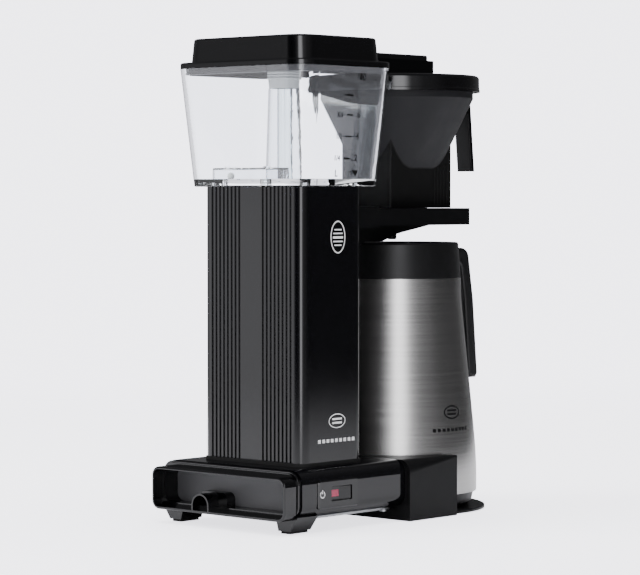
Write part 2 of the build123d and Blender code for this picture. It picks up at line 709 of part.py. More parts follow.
with BuildPart() as boiler_tube:
    bend = u_bend(TANK_X, BOILER_TOP)
    with BuildSketch(Plane(origin=(TANK_X, BOILER_HALF, BOILER_TOP), z_dir=(0, 0, -1))):
        Circle(TUBE_R)
        Circle(TUBE_BORE, mode=Mode.SUBTRACT)
    sweep(path=bend)
write_piece(boiler_tube, "boiler_tube")

ROD_TOP = 196.0
with BuildPart() as heating_rod:
    bend = u_bend(ROD_X, ROD_TOP)
    with BuildSketch(Plane(origin=(ROD_X, BOILER_HALF, ROD_TOP), z_dir=(0, 0, -1))):
        Circle(ROD_R)
    sweep(path=bend)
    # Terminal pins in the two ends
    for side in (-1, 1):
        with BuildSketch(Plane.XY.offset(ROD_TOP)):
            with Locations((ROD_X, side * BOILER_HALF)):
                Circle(1.2)
        extrude(amount=8)
write_piece(heating_rod, "heating_rod")

CLAMP_Z = (110.0, 180.0)
with BuildPart() as boiler_clamps:
    for z in CLAMP_Z:
        with BuildSketch(Plane.XY.offset(z)):
            with Locations(((TANK_X + ROD_X) / 2, 0)):
                RectangleRounded(28, 54, 3)
            with Locations(*[(TANK_X, side * BOILER_HALF) for side in (-1, 1)]):
                Circle(TUBE_R + 0.05, mode=Mode.SUBTRACT)
            with Locations(*[(ROD_X, side * BOILER_HALF) for side in (-1, 1)]):
                Circle(ROD_R + 0.05, mode=Mode.SUBTRACT)
        extrude(amount=3)
write_piece(boiler_clamps, "boiler_clamps")

# A strip between the clamps carries the control thermostat and the safety cut-out.
STRIP_X = (TANK_X + ROD_X) / 2
with BuildPart() as thermostat_strip:
    with BuildSketch(Plane.XY.offset(CLAMP_Z[0] + 3)):
        with Locations((STRIP_X, 0)):
            Rectangle(1.5, 18)
    extrude(amount=CLAMP_Z[1] - CLAMP_Z[0] - 3)
write_piece(thermostat_strip, "thermostat_strip")

with BuildPart() as thermostats:
    for z in (130.0, 162.0):
        with BuildSketch(Plane.YZ.offset(STRIP_X + 0.75)):
            with Locations((0, z)):
                Circle(8)
        extrude(amount=5)
        with BuildSketch(Plane.YZ.offset(STRIP_X + 5.75)):
            with Locations((0, z)):
                Circle(6)
        extrude(amount=4)
write_piece(thermostats, "thermostats")

# ---------------------------------------------------------------- hoses and riser
HOSE_R = 7.0
RISER_R = 5.0
RISER_Z0 = 246.0


def hose(points, bend):
    """A silicone hose along straight runs with tangent bends."""
    with BuildLine() as route:
        FilletPolyline(*points, radius=bend)
    with BuildSketch(Plane(origin=route.line @ 0, z_dir=route.line % 0)) as section:
        Circle(HOSE_R)
        Circle(TUBE_R + 0.05, mode=Mode.SUBTRACT)
    sweep(section.sketch, path=route.line)


with BuildPart() as riser_hose:
    hose([(TANK_X, -BOILER_HALF, 202), (TANK_X, -BOILER_HALF, 219), (TANK_X, 0, 238), (TANK_X, 0, 258)], 12)
write_piece(riser_hose, "riser_hose")

with BuildPart() as supply_hose:
    hose([(TANK_X, BOILER_HALF, 202), (TANK_X, BOILER_HALF, 219), (OUTLET_X, OUTLET_Y, 238),
          (OUTLET_X, OUTLET_Y, 258)], 12)
write_piece(supply_hose, "supply_hose")

with BuildPart() as riser_tube:
    with BuildSketch(Plane.XY.offset(RISER_Z0)):
        with Locations((TANK_X, 0)):
            Circle(RISER_R)
            Circle(RISER_R - 1.2, mode=Mode.SUBTRACT)
    extrude(amount=ARM_Z0 + 3 - RISER_Z0)
write_piece(riser_tube, "riser_tube")

# ---------------------------------------------------------------- tank
# Clear moulded tank that widens upwards. A spigot in its floor feeds the boiler.
with BuildPart() as tank:
    with BuildSketch(Plane.XY.offset(COLUMN_Z1)):
        with Locations((TANK_X, 0)):
            rounded(TANK_FOOT)
    with BuildSketch(Plane.XY.offset(TANK_RIM_Z)):
        with Locations((TANK_X, 0)):
            rounded(TANK_RIM)
    loft(ruled=True)
    fillet(tank.faces().sort_by(Axis.Z)[0].edges(), 1.2)
    rise = (TANK_FLOOR_Z - COLUMN_Z1) / (TANK_RIM_Z - COLUMN_Z1)
    floor_size = [low + (high - low) * rise for low, high in zip(TANK_FOOT, TANK_RIM)]
    with BuildSketch(Plane.XY.offset(TANK_FLOOR_Z)):
        with Locations((TANK_X, 0)):
            rounded(floor_size, TANK_WALL)
    with BuildSketch(Plane.XY.offset(TANK_RIM_Z)):
        with Locations((TANK_X, 0)):
            rounded(TANK_RIM, TANK_WALL)
    loft(ruled=True, mode=Mode.SUBTRACT)
    with BuildSketch(Plane.XY.offset(248)):
        with Locations((OUTLET_X, OUTLET_Y)):
            Circle(TUBE_R)
    extrude(amount=COLUMN_Z1 + 1 - 248)
    with BuildSketch(Plane.XY.offset(248)):
        with Locations((OUTLET_X, OUTLET_Y)):
            Circle(3.5)
    extrude(amount=COLUMN_Z1 - 248, mode=Mode.SUBTRACT)
    with BuildSketch(Plane.XY.offset(COLUMN_Z1)):
        with Locations((OUTLET_X, OUTLET_Y)):
            Circle(2.0)
        with Locations((TANK_X, 0)):
            Circle(RISER_R + 0.5)
    extrude(amount=10, mode=Mode.SUBTRACT)
    with BuildSketch(Plane.XY.offset(COLUMN_Z1)):
        with Locations(*TANK_SCREWS):
            Circle(1.55)
    extrude(amount=4, mode=Mode.SUBTRACT)
write_piece(tank, "tank")

with BuildPart() as outlet_seal:
    with BuildSketch(Plane.XY.offset(COLUMN_Z1 - TOP_PLATE - 2)):
        with Locations((OUTLET_X, OUTLET_Y)):
            Circle(6.8)
            Circle(TUBE_R + 0.05, mode=Mode.SUBTRACT)
    extrude(amount=2)
write_piece(outlet_seal, "outlet_seal")

# ---------------------------------------------------------------- riser guard and its collar
GUARD_LOW_R = 14.5
GUARD_HIGH_R = 12.2
GUARD_TOP_Z = 350.0
with BuildPart() as riser_guard:
    for shrink, mode in ((0.0, Mode.ADD), (1.6, Mode.SUBTRACT)):
        with BuildSketch(Plane.XY.offset(TANK_FLOOR_Z)):
            with Locations((TANK_X, 0)):
                Circle(GUARD_LOW_R - shrink)
        with BuildSketch(Plane.XY.offset(GUARD_TOP_Z)):
            with Locations((TANK_X, 0)):
                Circle(GUARD_HIGH_R - shrink)
        loft(ruled=True, mode=mode)
write_piece(riser_guard, "riser_guard")

COLLAR_R = 13.3
with BuildPart() as riser_collar:
    with BuildSketch(Plane(origin=(TANK_X, 0, 0), x_dir=(1, 0, 0), z_dir=(0, -1, 0))):
        with BuildLine():
            Polyline((RISER_R + 0.1, GUARD_TOP_Z), (COLLAR_R - 1.6, GUARD_TOP_Z), (COLLAR_R - 1, 357),
                     (COLLAR_R - 1, ARM_Z0), (RISER_R + 0.1, ARM_Z0), close=True)
        make_face()
        # Round thread ridges
        with Locations(*[(COLLAR_R - 1, 358.2 + 2.2 * ridge) for ridge in range(4)]):
            Circle(1.0)
    revolve(axis=Axis((TANK_X, 0, 0), (0, 0, 1)))
write_piece(riser_collar, "riser_collar")

# ---------------------------------------------------------------- valve cover and check valve
COVER_MID = (-107.0, 10.0)
VALVE_COVER_TOP = 286.0
with BuildPart() as valve_cover:
    with BuildSketch(Plane.XY.offset(TANK_FLOOR_Z)):
        with Locations(COVER_MID):
            RectangleRounded(26, 64, 6)
    extrude(amount=VALVE_COVER_TOP - TANK_FLOOR_Z)
    fillet(valve_cover.faces().sort_by(Axis.Z)[-1].edges(), 1.5)
    with BuildSketch(Plane.XY.offset(TANK_FLOOR_Z)):
        with Locations(COVER_MID):
            RectangleRounded(22.8, 60.8, 4.4)
    extrude(amount=VALVE_COVER_TOP - TANK_FLOOR_Z - 1.6, mode=Mode.SUBTRACT)
    # Three inlet slots along the top and two raised bosses
    with BuildSketch(Plane.XY.offset(VALVE_COVER_TOP)):
        with Locations(*[(COVER_MID[0], COVER_MID[1] - 8 + 8 * slot) for slot in range(3)]):
            SlotOverall(14, 2.5)
    extrude(amount=-1.6, mode=Mode.SUBTRACT)
    with BuildSketch(Plane.XY.offset(VALVE_COVER_TOP)):
        with Locations((COVER_MID[0], OUTLET_Y), (COVER_MID[0], -12)):
            Circle(5)
    extrude(amount=1.2)
write_piece(valve_cover, "valve_cover")

BALL_R = 3.0
SEAT_R = 2.0
with BuildPart() as check_ball:
    with Locations((OUTLET_X, OUTLET_Y, TANK_FLOOR_Z + sqrt(BALL_R**2 - SEAT_R**2) + 0.1)):
        Sphere(BALL_R)
write_piece(check_ball, "check_ball")

# ---------------------------------------------------------------- tank lid
# Gloss moulded lid: a flange on the rim, a raised hollow cap, and a notch for the outlet arm.
NOTCH_HALF = ARM_HALF + 0.8
with BuildPart() as tank_lid:
    with BuildSketch(Plane.XY.offset(TANK_RIM_Z)):
        with Locations((TANK_X, 0)):
            rounded(TANK_RIM)
    extrude(amount=LID_FLANGE_Z - TANK_RIM_Z)
    fillet(tank_lid.faces().sort_by(Axis.Z)[-1].edges(), 1.4)
    with BuildSketch(Plane.XY.offset(LID_FLANGE_Z)):
        with Locations((TANK_X, 0)):
            rounded(LID_LOW)
    with BuildSketch(Plane.XY.offset(HEIGHT)):
        with Locations((TANK_X, 0)):
            rounded(LID_TOP)
    loft(ruled=True)
    fillet(tank_lid.faces().sort_by(Axis.Z)[-1].edges(), 2.0)
    # Locating lip inside the tank
    with BuildSketch(Plane.XY.offset(TANK_RIM_Z - 5)):
        with Locations((TANK_X, 0)):
            rounded(TANK_RIM, TANK_WALL + 1.2)
    extrude(amount=5)
    # Hollow from below
    with BuildSketch(Plane.XY.offset(TANK_RIM_Z - 5)):
        with Locations((TANK_X, 0)):
            rounded(TANK_RIM, TANK_WALL + 3.2)
    extrude(amount=LID_FLANGE_Z - LID_WALL - TANK_RIM_Z + 5, mode=Mode.SUBTRACT)
    with BuildSketch(Plane.XY.offset(TANK_RIM_Z)):
        with Locations((TANK_X, 0)):
            rounded(LID_LOW, LID_WALL)
    with BuildSketch(Plane.XY.offset(HEIGHT - LID_WALL)):
        with Locations((TANK_X, 0)):
            rounded(LID_TOP, LID_WALL)
    loft(ruled=True, mode=Mode.SUBTRACT)
    # Notch for the arm, open downwards so that the lid lifts off
    with BuildSketch(Plane.XY.offset(TANK_RIM_Z - 6)):
        with Locations((TANK_X + 45, 0)):
            Rectangle(34, 2 * NOTCH_HALF)
    extrude(amount=ARM_CAP_Z1 + 0.6 - TANK_RIM_Z + 6, mode=Mode.SUBTRACT)
write_piece(tank_lid, "tank_lid")

# ---------------------------------------------------------------- outlet arm
# Carries the hot water from the riser over the tank rim to the spray plate above the basket.
ARM_LOW_Z = BASKET_LID_Z + 0.5
ARM_LOW_X = TANK_X + TANK_RIM[0] + 2.5
SPRAY_X0 = 36.0
SPRAY_X1 = 86.0
SPRAY_HALF = 11.0
with BuildPart() as outlet_arm:
    with BuildSketch(Plane.XY.offset(ARM_Z0)):
        with Locations((TANK_X, 0)):
            Circle(16)
        with Locations(((TANK_X + ARM_END_X) / 2, 0)):
            Rectangle(ARM_END_X - TANK_X, 2 * ARM_HALF)
    extrude(amount=ARM_Z1 - ARM_Z0)
    with BuildSketch(Plane.XY.offset(ARM_LOW_Z)):
        with Locations(((ARM_LOW_X + ARM_END_X) / 2, 0)):
            Rectangle(ARM_END_X - ARM_LOW_X, 2 * ARM_HALF)
    extrude(amount=ARM_Z0 - ARM_LOW_Z)
    fillet(outlet_arm.faces().sort_by(Axis.X)[-1].edges().filter_by(Axis.Z), 1.5)
    # Riser hole, water channel and the pocket for the spray plate
    with BuildSketch(Plane.XY.offset(ARM_Z0)):
        with Locations((TANK_X, 0)):
            Circle(RISER_R + 0.05)
    extrude(amount=ARM_Z1 - ARM_Z0, mode=Mode.SUBTRACT)
    with BuildSketch(Plane.XY.offset(ARM_Z0 + 3)):
        with Locations(((TANK_X + SPRAY_X1) / 2, 0)):
            SlotOverall(SPRAY_X1 - TANK_X + 12, 12)
    extrude(amount=ARM_Z1 - ARM_Z0, mode=Mode.SUBTRACT)
    with BuildSketch(Plane.XY.offset(ARM_LOW_Z)):
        with Locations(((SPRAY_X0 + SPRAY_X1) / 2, 0)):
            RectangleRounded(SPRAY_X1 - SPRAY_X0, 2 * SPRAY_HALF, 3)
    extrude(amount=2, mode=Mode.SUBTRACT)
    with BuildSketch(Plane.XY.offset(ARM_LOW_Z)):
        with Locations(((SPRAY_X0 + SPRAY_X1) / 2, 0)):
            RectangleRounded(SPRAY_X1 - SPRAY_X0 - 6, 10, 3)
    extrude(amount=8, mode=Mode.SUBTRACT)
write_piece(outlet_arm, "outlet_arm")

with BuildPart() as arm_cap:
    with BuildSketch(Plane.XY.offset(ARM_Z1)):
        with Locations((TANK_X, 0)):
            Circle(ARM_CAP_HALF)
        with Locations(((TANK_X + ARM_CAP_END_X) / 2, 0)):
            Rectangle(ARM_CAP_END_X - TANK_X, 2 * ARM_CAP_HALF)
    extrude(amount=ARM_CAP_Z1 - ARM_Z1)
    fillet(arm_cap.faces().sort_by(Axis.X)[-1].edges().filter_by(Axis.Z), 3)
    fillet(arm_cap.faces().sort_by(Axis.Z)[-1].edges(), 1.6)
write_piece(arm_cap, "arm_cap")

with BuildPart() as spray_plate:
    with BuildSketch(Plane.XY.offset(ARM_LOW_Z)):
        with Locations(((SPRAY_X0 + SPRAY_X1) / 2, 0)):
            RectangleRounded(SPRAY_X1 - SPRAY_X0 - 2 * FIT, 2 * SPRAY_HALF - 2 * FIT, 2.9)
            with GridLocations(9, 6, 5, 1):
                Circle(1.1, mode=Mode.SUBTRACT)
            with GridLocations(9, 6, 4, 2):
                Circle(1.1, mode=Mode.SUBTRACT)
    extrude(amount=2)
write_piece(spray_plate, "spray_plate")

# ---------------------------------------------------------------- basket shelf
# Moulded shelf on the column cover. A wedge underneath stiffens it, and a slot that is open towards
# +X lets the basket's nozzle slide in.
WEDGE_HALF = 14.0
HOLDER_X1 = -7.0
HOLDER_Z0 = 237.2
HOLDER_Z1 = 255.0
with BuildPart() as basket_shelf:
    with BuildSketch(Plane.XY.offset(SHELF_Z0)):
        with Locations(((COVER_X1 + SHELF_X1) / 2, 0)):
            Rectangle(SHELF_X1 - COVER_X1, 2 * SHELF_HALF)
    extrude(amount=SHELF_Z1 - SHELF_Z0)
    fillet(basket_shelf.faces().sort_by(Axis.X)[-1].edges().filter_by(Axis.Z), 3)
    # Pockets from below on both sides of the wedge
    for side in (-1, 1):
        with BuildSketch(Plane.XY.offset(SHELF_Z0)):
            with Locations(((HOLDER_X1 + SHELF_X1) / 2, side * (WEDGE_HALF + SHELF_HALF) / 2)):
                Rectangle(SHELF_X1 - HOLDER_X1 - 6, SHELF_HALF - WEDGE_HALF - 5)
        extrude(amount=SHELF_Z1 - SHELF_Z0 - 2.5, mode=Mode.SUBTRACT)
    # Mounting block at the column
    with BuildSketch(Plane.XY.offset(HOLDER_Z0)):
        with Locations(((COVER_X1 + HOLDER_X1) / 2, 0)):
            Rectangle(HOLDER_X1 - COVER_X1, 2 * SHELF_HALF + 1.2)
    extrude(amount=HOLDER_Z1 - HOLDER_Z0)
    with BuildSketch(Plane.XZ.offset(-WEDGE_HALF)):
        Polygon((COVER_X1, SHELF_Z1 - 2), (COVER_X1, 212), (-20, 214), (5, CARAFE_TOP_Z + 1.5),
                (27.6, CARAFE_TOP_Z + 1.5), (46.8, 231.8), (90, SHELF_Z0), (90, SHELF_Z1 - 2), align=None)
    extrude(amount=2 * WEDGE_HALF)
    # Nozzle slot
    with BuildSketch(Plane.XY.offset(CARAFE_TOP_Z)):
        with Locations((NOZZLE_X, 0)):
            Circle(SLOT_HALF)
        with Locations(((NOZZLE_X + SHELF_X1 + 2) / 2, 0)):
            Rectangle(SHELF_X1 + 2 - NOZZLE_X, 2 * SLOT_HALF)
    extrude(amount=SHELF_Z1 - CARAFE_TOP_Z + 1, mode=Mode.SUBTRACT)
    with BuildSketch(Plane.YZ.offset(COVER_X1)):
        with Locations(*HOLDER_SCREWS):
            Circle(1.55)
    extrude(amount=15, mode=Mode.SUBTRACT)
write_piece(basket_shelf, "basket_shelf")

with BuildPart() as shelf_screws:
    for y, z in HOLDER_SCREWS:
        screw(COVER_BACK_X - COVER_THICK, y, z, (1, 0, 0), 16, 1.5, 3.0, 2.2)
write_piece(shelf_screws, "shelf_screws")

# ---------------------------------------------------------------- brew basket
# The wall runs straight from a round rim to a short trough, as a paper filter needs. A box-shaped
# skirt stands on the shelf, and a nozzle under the floor holds the drip stop.
CONE_END_Z = 250.0
CONE_END_R = 5.0
CONE_END_HALF = 20.5
CONE_TOP_HALF = 0.5


def filter_outline(z, inset):
    """The basket's outline at one height: a slot whose ends shrink and whose middle grows downwards."""
    fall = (BASKET_CONE_Z - z) / (BASKET_CONE_Z - CONE_END_Z)
    radius = BASKET_R + (CONE_END_R - BASKET_R) * fall - inset
    middle = CONE_TOP_HALF + (CONE_END_HALF - CONE_TOP_HALF) * fall
    with BuildSketch(Plane.XY.offset(z)) as outline:
        with Locations((BREW_X, 0)):
            SlotCenterToCenter(2 * middle, 2 * radius)
    return outline.sketch


SEAT_Z = BASKET_FLOOR_Z + 2.5
NOZZLE_R = 6.5
NOZZLE_BORE = 4.6
LUG_X1 = 134.0
HANDLE_SCREW_X = 130.0
with BuildPart() as brew_basket:
    # Skirt box, hollow, open below
    with BuildSketch(Plane.XY.offset(SHELF_Z1 + 0.3)):
        with Locations((BREW_X, 0)):
            RectangleRounded(2 * SKIRT_X, 2 * SKIRT_Y, 2)
    extrude(amount=322 - SHELF_Z1)
    with BuildSketch(Plane.XY.offset(SHELF_Z1 + 0.3)):
        with Locations((BREW_X, 0)):
            RectangleRounded(2 * (SKIRT_X - BASKET_WALL), 2 * (SKIRT_Y - BASKET_WALL), 1)
    extrude(amount=322 - SHELF_Z1, mode=Mode.SUBTRACT)
    # Cone and rim
    loft([filter_outline(BASKET_CONE_Z, 0), filter_outline(BASKET_FLOOR_Z, 0)], ruled=True)
    with BuildSketch(Plane.XY.offset(BASKET_CONE_Z)):
        with Locations((BREW_X, 0)):
            Circle(BASKET_R)
    extrude(amount=BASKET_RIM_Z - BASKET_CONE_Z)
    hollow = [filter_outline(BASKET_CONE_Z, BASKET_WALL), filter_outline(SEAT_Z, BASKET_WALL)]
    loft(hollow, ruled=True, mode=Mode.SUBTRACT)
    with BuildSketch(Plane.XY.offset(BASKET_CONE_Z)):
        with Locations((BREW_X, 0)):
            Circle(BASKET_R - BASKET_WALL)
    extrude(amount=BASKET_RIM_Z - BASKET_CONE_Z, mode=Mode.SUBTRACT)
    # Fine upright ribs on the skirt, near the handle end
    for side in (-1, 1):
        with BuildSketch(Plane.XY.offset(SHELF_Z1 + 2)):
            with Locations(*[(BREW_X + 33 - 4 * rib, side * SKIRT_Y) for rib in range(5)]):
                Circle(0.5)
        extrude(amount=34)
    # Nozzle
    with BuildSketch(Plane.XY.offset(NOZZLE_TIP_Z + 5)):
        with Locations((NOZZLE_X, 0)):
            Circle(NOZZLE_R)
    extrude(amount=BASKET_FLOOR_Z - NOZZLE_TIP_Z - 4)
    with BuildSketch(Plane.XY.offset(NOZZLE_TIP_Z + 5)):
        with Locations((NOZZLE_X, 0)):
            Circle(NOZZLE_BORE)
    extrude(amount=BASKET_FLOOR_Z - NOZZLE_TIP_Z - 5, mode=Mode.SUBTRACT)
    with BuildSketch(Plane.XY.offset(BASKET_FLOOR_Z - 1)):
        with Locations((NOZZLE_X, 0)):
            Circle(3.0)
    extrude(amount=6, mode=Mode.SUBTRACT)
    # Lug for the handle
    with BuildSketch(Plane.XY.offset(338)):
        with Locations(((LUG_X1 + BREW_X + BASKET_R - 4) / 2, 0)):
            Rectangle(LUG_X1 - BREW_X - BASKET_R + 4, 10)
    extrude(amount=6)
    with BuildSketch(Plane.XY.offset(338)):
        with Locations((HANDLE_SCREW_X, 0)):
            Circle(1.55)
    extrude(amount=4.5, mode=Mode.SUBTRACT)
    upper = [filter_outline(BASKET_CONE_Z, BASKET_WALL), filter_outline(330, BASKET_WALL)]
    loft(upper, ruled=True, mode=Mode.SUBTRACT)
write_piece(brew_basket, "brew_basket")

# ---------------------------------------------------------------- basket handle
HANDLE_HALF = 8.0
HANDLE_THICK = 4.6
with BuildPart() as basket_handle:
    with BuildSketch(Plane.XZ.offset(-HANDLE_HALF)):
        Polygon((126.2, 334.5), (126.2, 345.5), (148.6, 345.5), (150.6, 341), (155.9, 284.5),
                (155.9 - HANDLE_THICK, 284.5), (146.4, 334.5), align=None)
    extrude(amount=2 * HANDLE_HALF)
    outer = basket_handle.faces().filter_by(Axis.Y)
    fillet(outer.edges().filter_by(lambda edge: edge.center().X > 146), 1.0)
    with BuildSketch(Plane.XY.offset(338 - FIT)):
        with Locations(((LUG_X1 + FIT + 120) / 2, 0)):
            Rectangle(LUG_X1 + FIT - 120, 10 + 2 * FIT)
    extrude(amount=6 + 2 * FIT, mode=Mode.SUBTRACT)
    with BuildSketch(Plane.XY.offset(334.5)):
        with Locations((HANDLE_SCREW_X, 0)):
            Circle(2.9)
    extrude(amount=1.8, mode=Mode.SUBTRACT)
    with BuildSketch(Plane.XY.offset(334.5)):
        with Locations((HANDLE_SCREW_X, 0)):
            Circle(1.6)
    extrude(amount=4, mode=Mode.SUBTRACT)
write_piece(basket_handle, "basket_handle")

with BuildPart() as basket_handle_screw:
    screw(HANDLE_SCREW_X, 0, 336.3, (0, 0, 1), 5.5, 1.5, 2.8, 1.7)
write_piece(basket_handle_screw, "basket_handle_screw")

# ---------------------------------------------------------------- basket lid
# Shallow lid with a seat on the rim, a plug ring inside it, and a round hole under the spray plate.
with BuildPart() as basket_lid:
    with BuildSketch(BREW_PLANE):
        with BuildLine():
            Polyline((30, BASKET_LID_Z), (BASKET_LID_R - 3.6, BASKET_LID_Z))
            RadiusArc((BASKET_LID_R - 3.6, BASKET_LID_Z), (BASKET_LID_R - 0.6, BASKET_LID_Z - 3), 3.05)
            Polyline((BASKET_LID_R - 0.6, BASKET_LID_Z - 3), (BASKET_LID_R - 0.4, BASKET_RIM_Z + 2.6),
                     (BASKET_LID_R, BASKET_RIM_Z + 2.2), (BASKET_LID_R, BASKET_RIM_Z),
                     (BASKET_LID_R - 2.6, BASKET_RIM_Z), (BASKET_LID_R - 3, BASKET_LID_Z - 3),
                     (61.5, BASKET_LID_Z - 3), (61.5, BASKET_RIM_Z + 2.2), (66, BASKET_RIM_Z + 2.2),
                     (66, BASKET_RIM_Z), (61.5, BASKET_RIM_Z), (61.5, BASKET_RIM_Z - 4.5),
                     (59.6, BASKET_RIM_Z - 4.5), (59.6, BASKET_LID_Z - 2.5), (30, BASKET_LID_Z - 2.5),
                     (30, BASKET_LID_Z))
        make_face()
    revolve(axis=BREW_AXIS)
write_piece(basket_lid, "basket_lid")

# ---------------------------------------------------------------- drip stop
# A sprung plunger in the nozzle. Pushed up, it lifts a seal off the basket floor.
STEM_R = 1.6
BUTTON_R = 4.0
BUTTON_TOP = NOZZLE_TIP_Z + 8
SEAL_Z = SEAT_Z + 0.2
with BuildPart() as drip_plunger:
    with BuildSketch(Plane.XY.offset(NOZZLE_TIP_Z)):
        with Locations((NOZZLE_X, 0)):
            Circle(BUTTON_R)
    extrude(amount=BUTTON_TOP - NOZZLE_TIP_Z)
    fillet(drip_plunger.faces().sort_by(Axis.Z)[0].edges(), 1.5)
    with BuildSketch(Plane.XY.offset(BUTTON_TOP)):
        with Locations((NOZZLE_X, 0)):
            Circle(STEM_R)
    extrude(amount=SEAL_Z + 1.6 - BUTTON_TOP)
    with BuildSketch(Plane.XY.offset(SEAL_Z + 1.6)):
        with Locations((NOZZLE_X, 0)):
            Circle(3.2)
    extrude(amount=1.4)
write_piece(drip_plunger, "drip_plunger")

with BuildPart() as drip_seal:
    with BuildSketch(Plane.XY.offset(SEAL_Z)):
        with Locations((NOZZLE_X, 0)):
            Circle(4.6)
            Circle(STEM_R, mode=Mode.SUBTRACT)
    extrude(amount=1.6)
write_piece(drip_seal, "drip_seal")

SPRING_R = 2.9
WIRE_R = 0.35
SPRING_Z0 = BUTTON_TOP + WIRE_R + 0.02
SPRING_Z1 = BASKET_FLOOR_Z - 1 - WIRE_R - 0.02
with BuildPart() as drip_spring:
    with BuildLine():
        coil = Helix(pitch=(SPRING_Z1 - SPRING_Z0) / 6, height=SPRING_Z1 - SPRING_Z0, radius=SPRING_R,
                     center=(NOZZLE_X, 0, SPRING_Z0))
    with BuildSketch(Plane(origin=coil @ 0, z_dir=coil % 0)):
        Circle(WIRE_R)
    sweep(is_frenet=True)
write_piece(drip_spring, "drip_spring")

# ---------------------------------------------------------------- carafe steel
# Two steel walls with a sealed gap between them.


def carafe_solid(inset, low, high, mode=Mode.ADD):
    """Turn the carafe's outline, set in from the outer wall, between two heights."""
    foot_r = CARAFE_R - inset
    with BuildSketch(BREW_PLANE) as half_section:
        with BuildLine():
            Line((0, low), (foot_r, low))
            Line((foot_r, low), (foot_r, 26))
            Spline((foot_r, 26), (65.1 - inset, 74), tangents=[(0, 1), (-0.1, 1)])
            Line((65.1 - inset, 74), (55.6 - inset, 169))
            Spline((55.6 - inset, 169), (NECK_R - inset, CARAFE_STEEL_Z1), tangents=[(-0.1, 1), (-0.02, 1)])
            Polyline((NECK_R - inset, CARAFE_STEEL_Z1), (NECK_R - inset, high), (0, high), (0, low))
        make_face()
    revolve(half_section.sketch, axis=BREW_AXIS, mode=mode)


with BuildPart() as carafe_shell:
    carafe_solid(0, CARAFE_STEEL_Z0, CARAFE_STEEL_Z1 + 0.01)
    fillet(carafe_shell.faces().sort_by(Axis.Z)[0].edges(), 0.8)
    carafe_solid(1.0, CARAFE_STEEL_Z0 + 1, CARAFE_STEEL_Z1 + 0.01, Mode.SUBTRACT)
write_piece(carafe_shell, "carafe_shell")

with BuildPart() as carafe_liner:
    carafe_solid(LINER_INSET, CARAFE_STEEL_Z0 + 6, CARAFE_STEEL_Z1 + 0.01)
    fillet(carafe_liner.faces().sort_by(Axis.Z)[0].edges(), 2)
    with BuildSketch(Plane.XY.offset(CARAFE_STEEL_Z1 - 1.2)):
        with Locations((BREW_X, 0)):
            Circle(NECK_R - 1.05)
    extrude(amount=1.2)
    carafe_solid(LINER_INSET + 1.0, CARAFE_STEEL_Z0 + 7, CARAFE_STEEL_Z1 + 0.01, Mode.SUBTRACT)
write_piece(carafe_liner, "carafe_liner")

# ---------------------------------------------------------------- carafe base ring and collar
with BuildPart() as carafe_base_ring:
    with BuildSketch(BREW_PLANE):
        with BuildLine():
            Polyline((55, CARAFE_FOOT_Z), (60, CARAFE_FOOT_Z), (63.7, 6.4), (65.5, CARAFE_STEEL_Z0),
                     (60, CARAFE_STEEL_Z0), (58.5, 7), (55, 6), close=True)
        make_face()
    revolve(axis=BREW_AXIS)
write_piece(carafe_base_ring, "carafe_base_ring")

LEDGE_Z = 198.5
COLLAR_Z0 = CARAFE_STEEL_Z1 + 0.01
with BuildPart() as carafe_collar:
    with BuildSketch(BREW_PLANE):
        with BuildLine():
            Polyline((44, COLLAR_Z0), (NECK_R, COLLAR_Z0), (COLLAR_TOP_R + 0.1, CARAFE_TOP_Z - 1.5),
                     (COLLAR_TOP_R - 0.8, CARAFE_TOP_Z), (LID_BORE_R, CARAFE_TOP_Z), (LID_BORE_R, LEDGE_Z),
                     (44, LEDGE_Z), close=True)
        make_face()
    revolve(axis=BREW_AXIS)
write_piece(carafe_collar, "carafe_collar")

# ---------------------------------------------------------------- carafe handle
# Open handle fixed to the collar at its top only, with a free lower end.
CARAFE_HANDLE_HALF = 12.0
with BuildPart() as carafe_handle:
    with BuildSketch(Plane.XZ.offset(-CARAFE_HANDLE_HALF)):
        with BuildLine():
            Polyline((108, 201), (108, 218.5), (134, 218.5))
            Spline((134, 218.5), (144.6, 210), tangents=[(1, 0), (0.16, -1)])
            Polyline((144.6, 210), (150.7, 173), (LENGTH / 2, 109), (LENGTH / 2 - 2.5, 105.6),
                     (147, 105.6), (144.6, 109), (138.9, 173), (134.6, 198))
            Spline((134.6, 198), (124, 206), tangents=[(-0.16, 1), (-1, -0.2)])
            Line((124, 206), (108, 201))
        make_face()
    extrude(amount=2 * CARAFE_HANDLE_HALF)
    with BuildSketch(BREW_PLANE):
        Polygon((0, CARAFE_STEEL_Z1), (NECK_R + 0.05, CARAFE_STEEL_Z1),
                (COLLAR_TOP_R + 0.15, CARAFE_TOP_Z - 1.5), (0, CARAFE_TOP_Z - 1.5), align=None)
    revolve(axis=BREW_AXIS, mode=Mode.SUBTRACT)
    side_faces = carafe_handle.faces().filter_by(Axis.Y)
    fillet(side_faces.edges().filter_by(lambda edge: edge.center().X > 126), 2.5)
write_piece(carafe_handle, "carafe_handle")

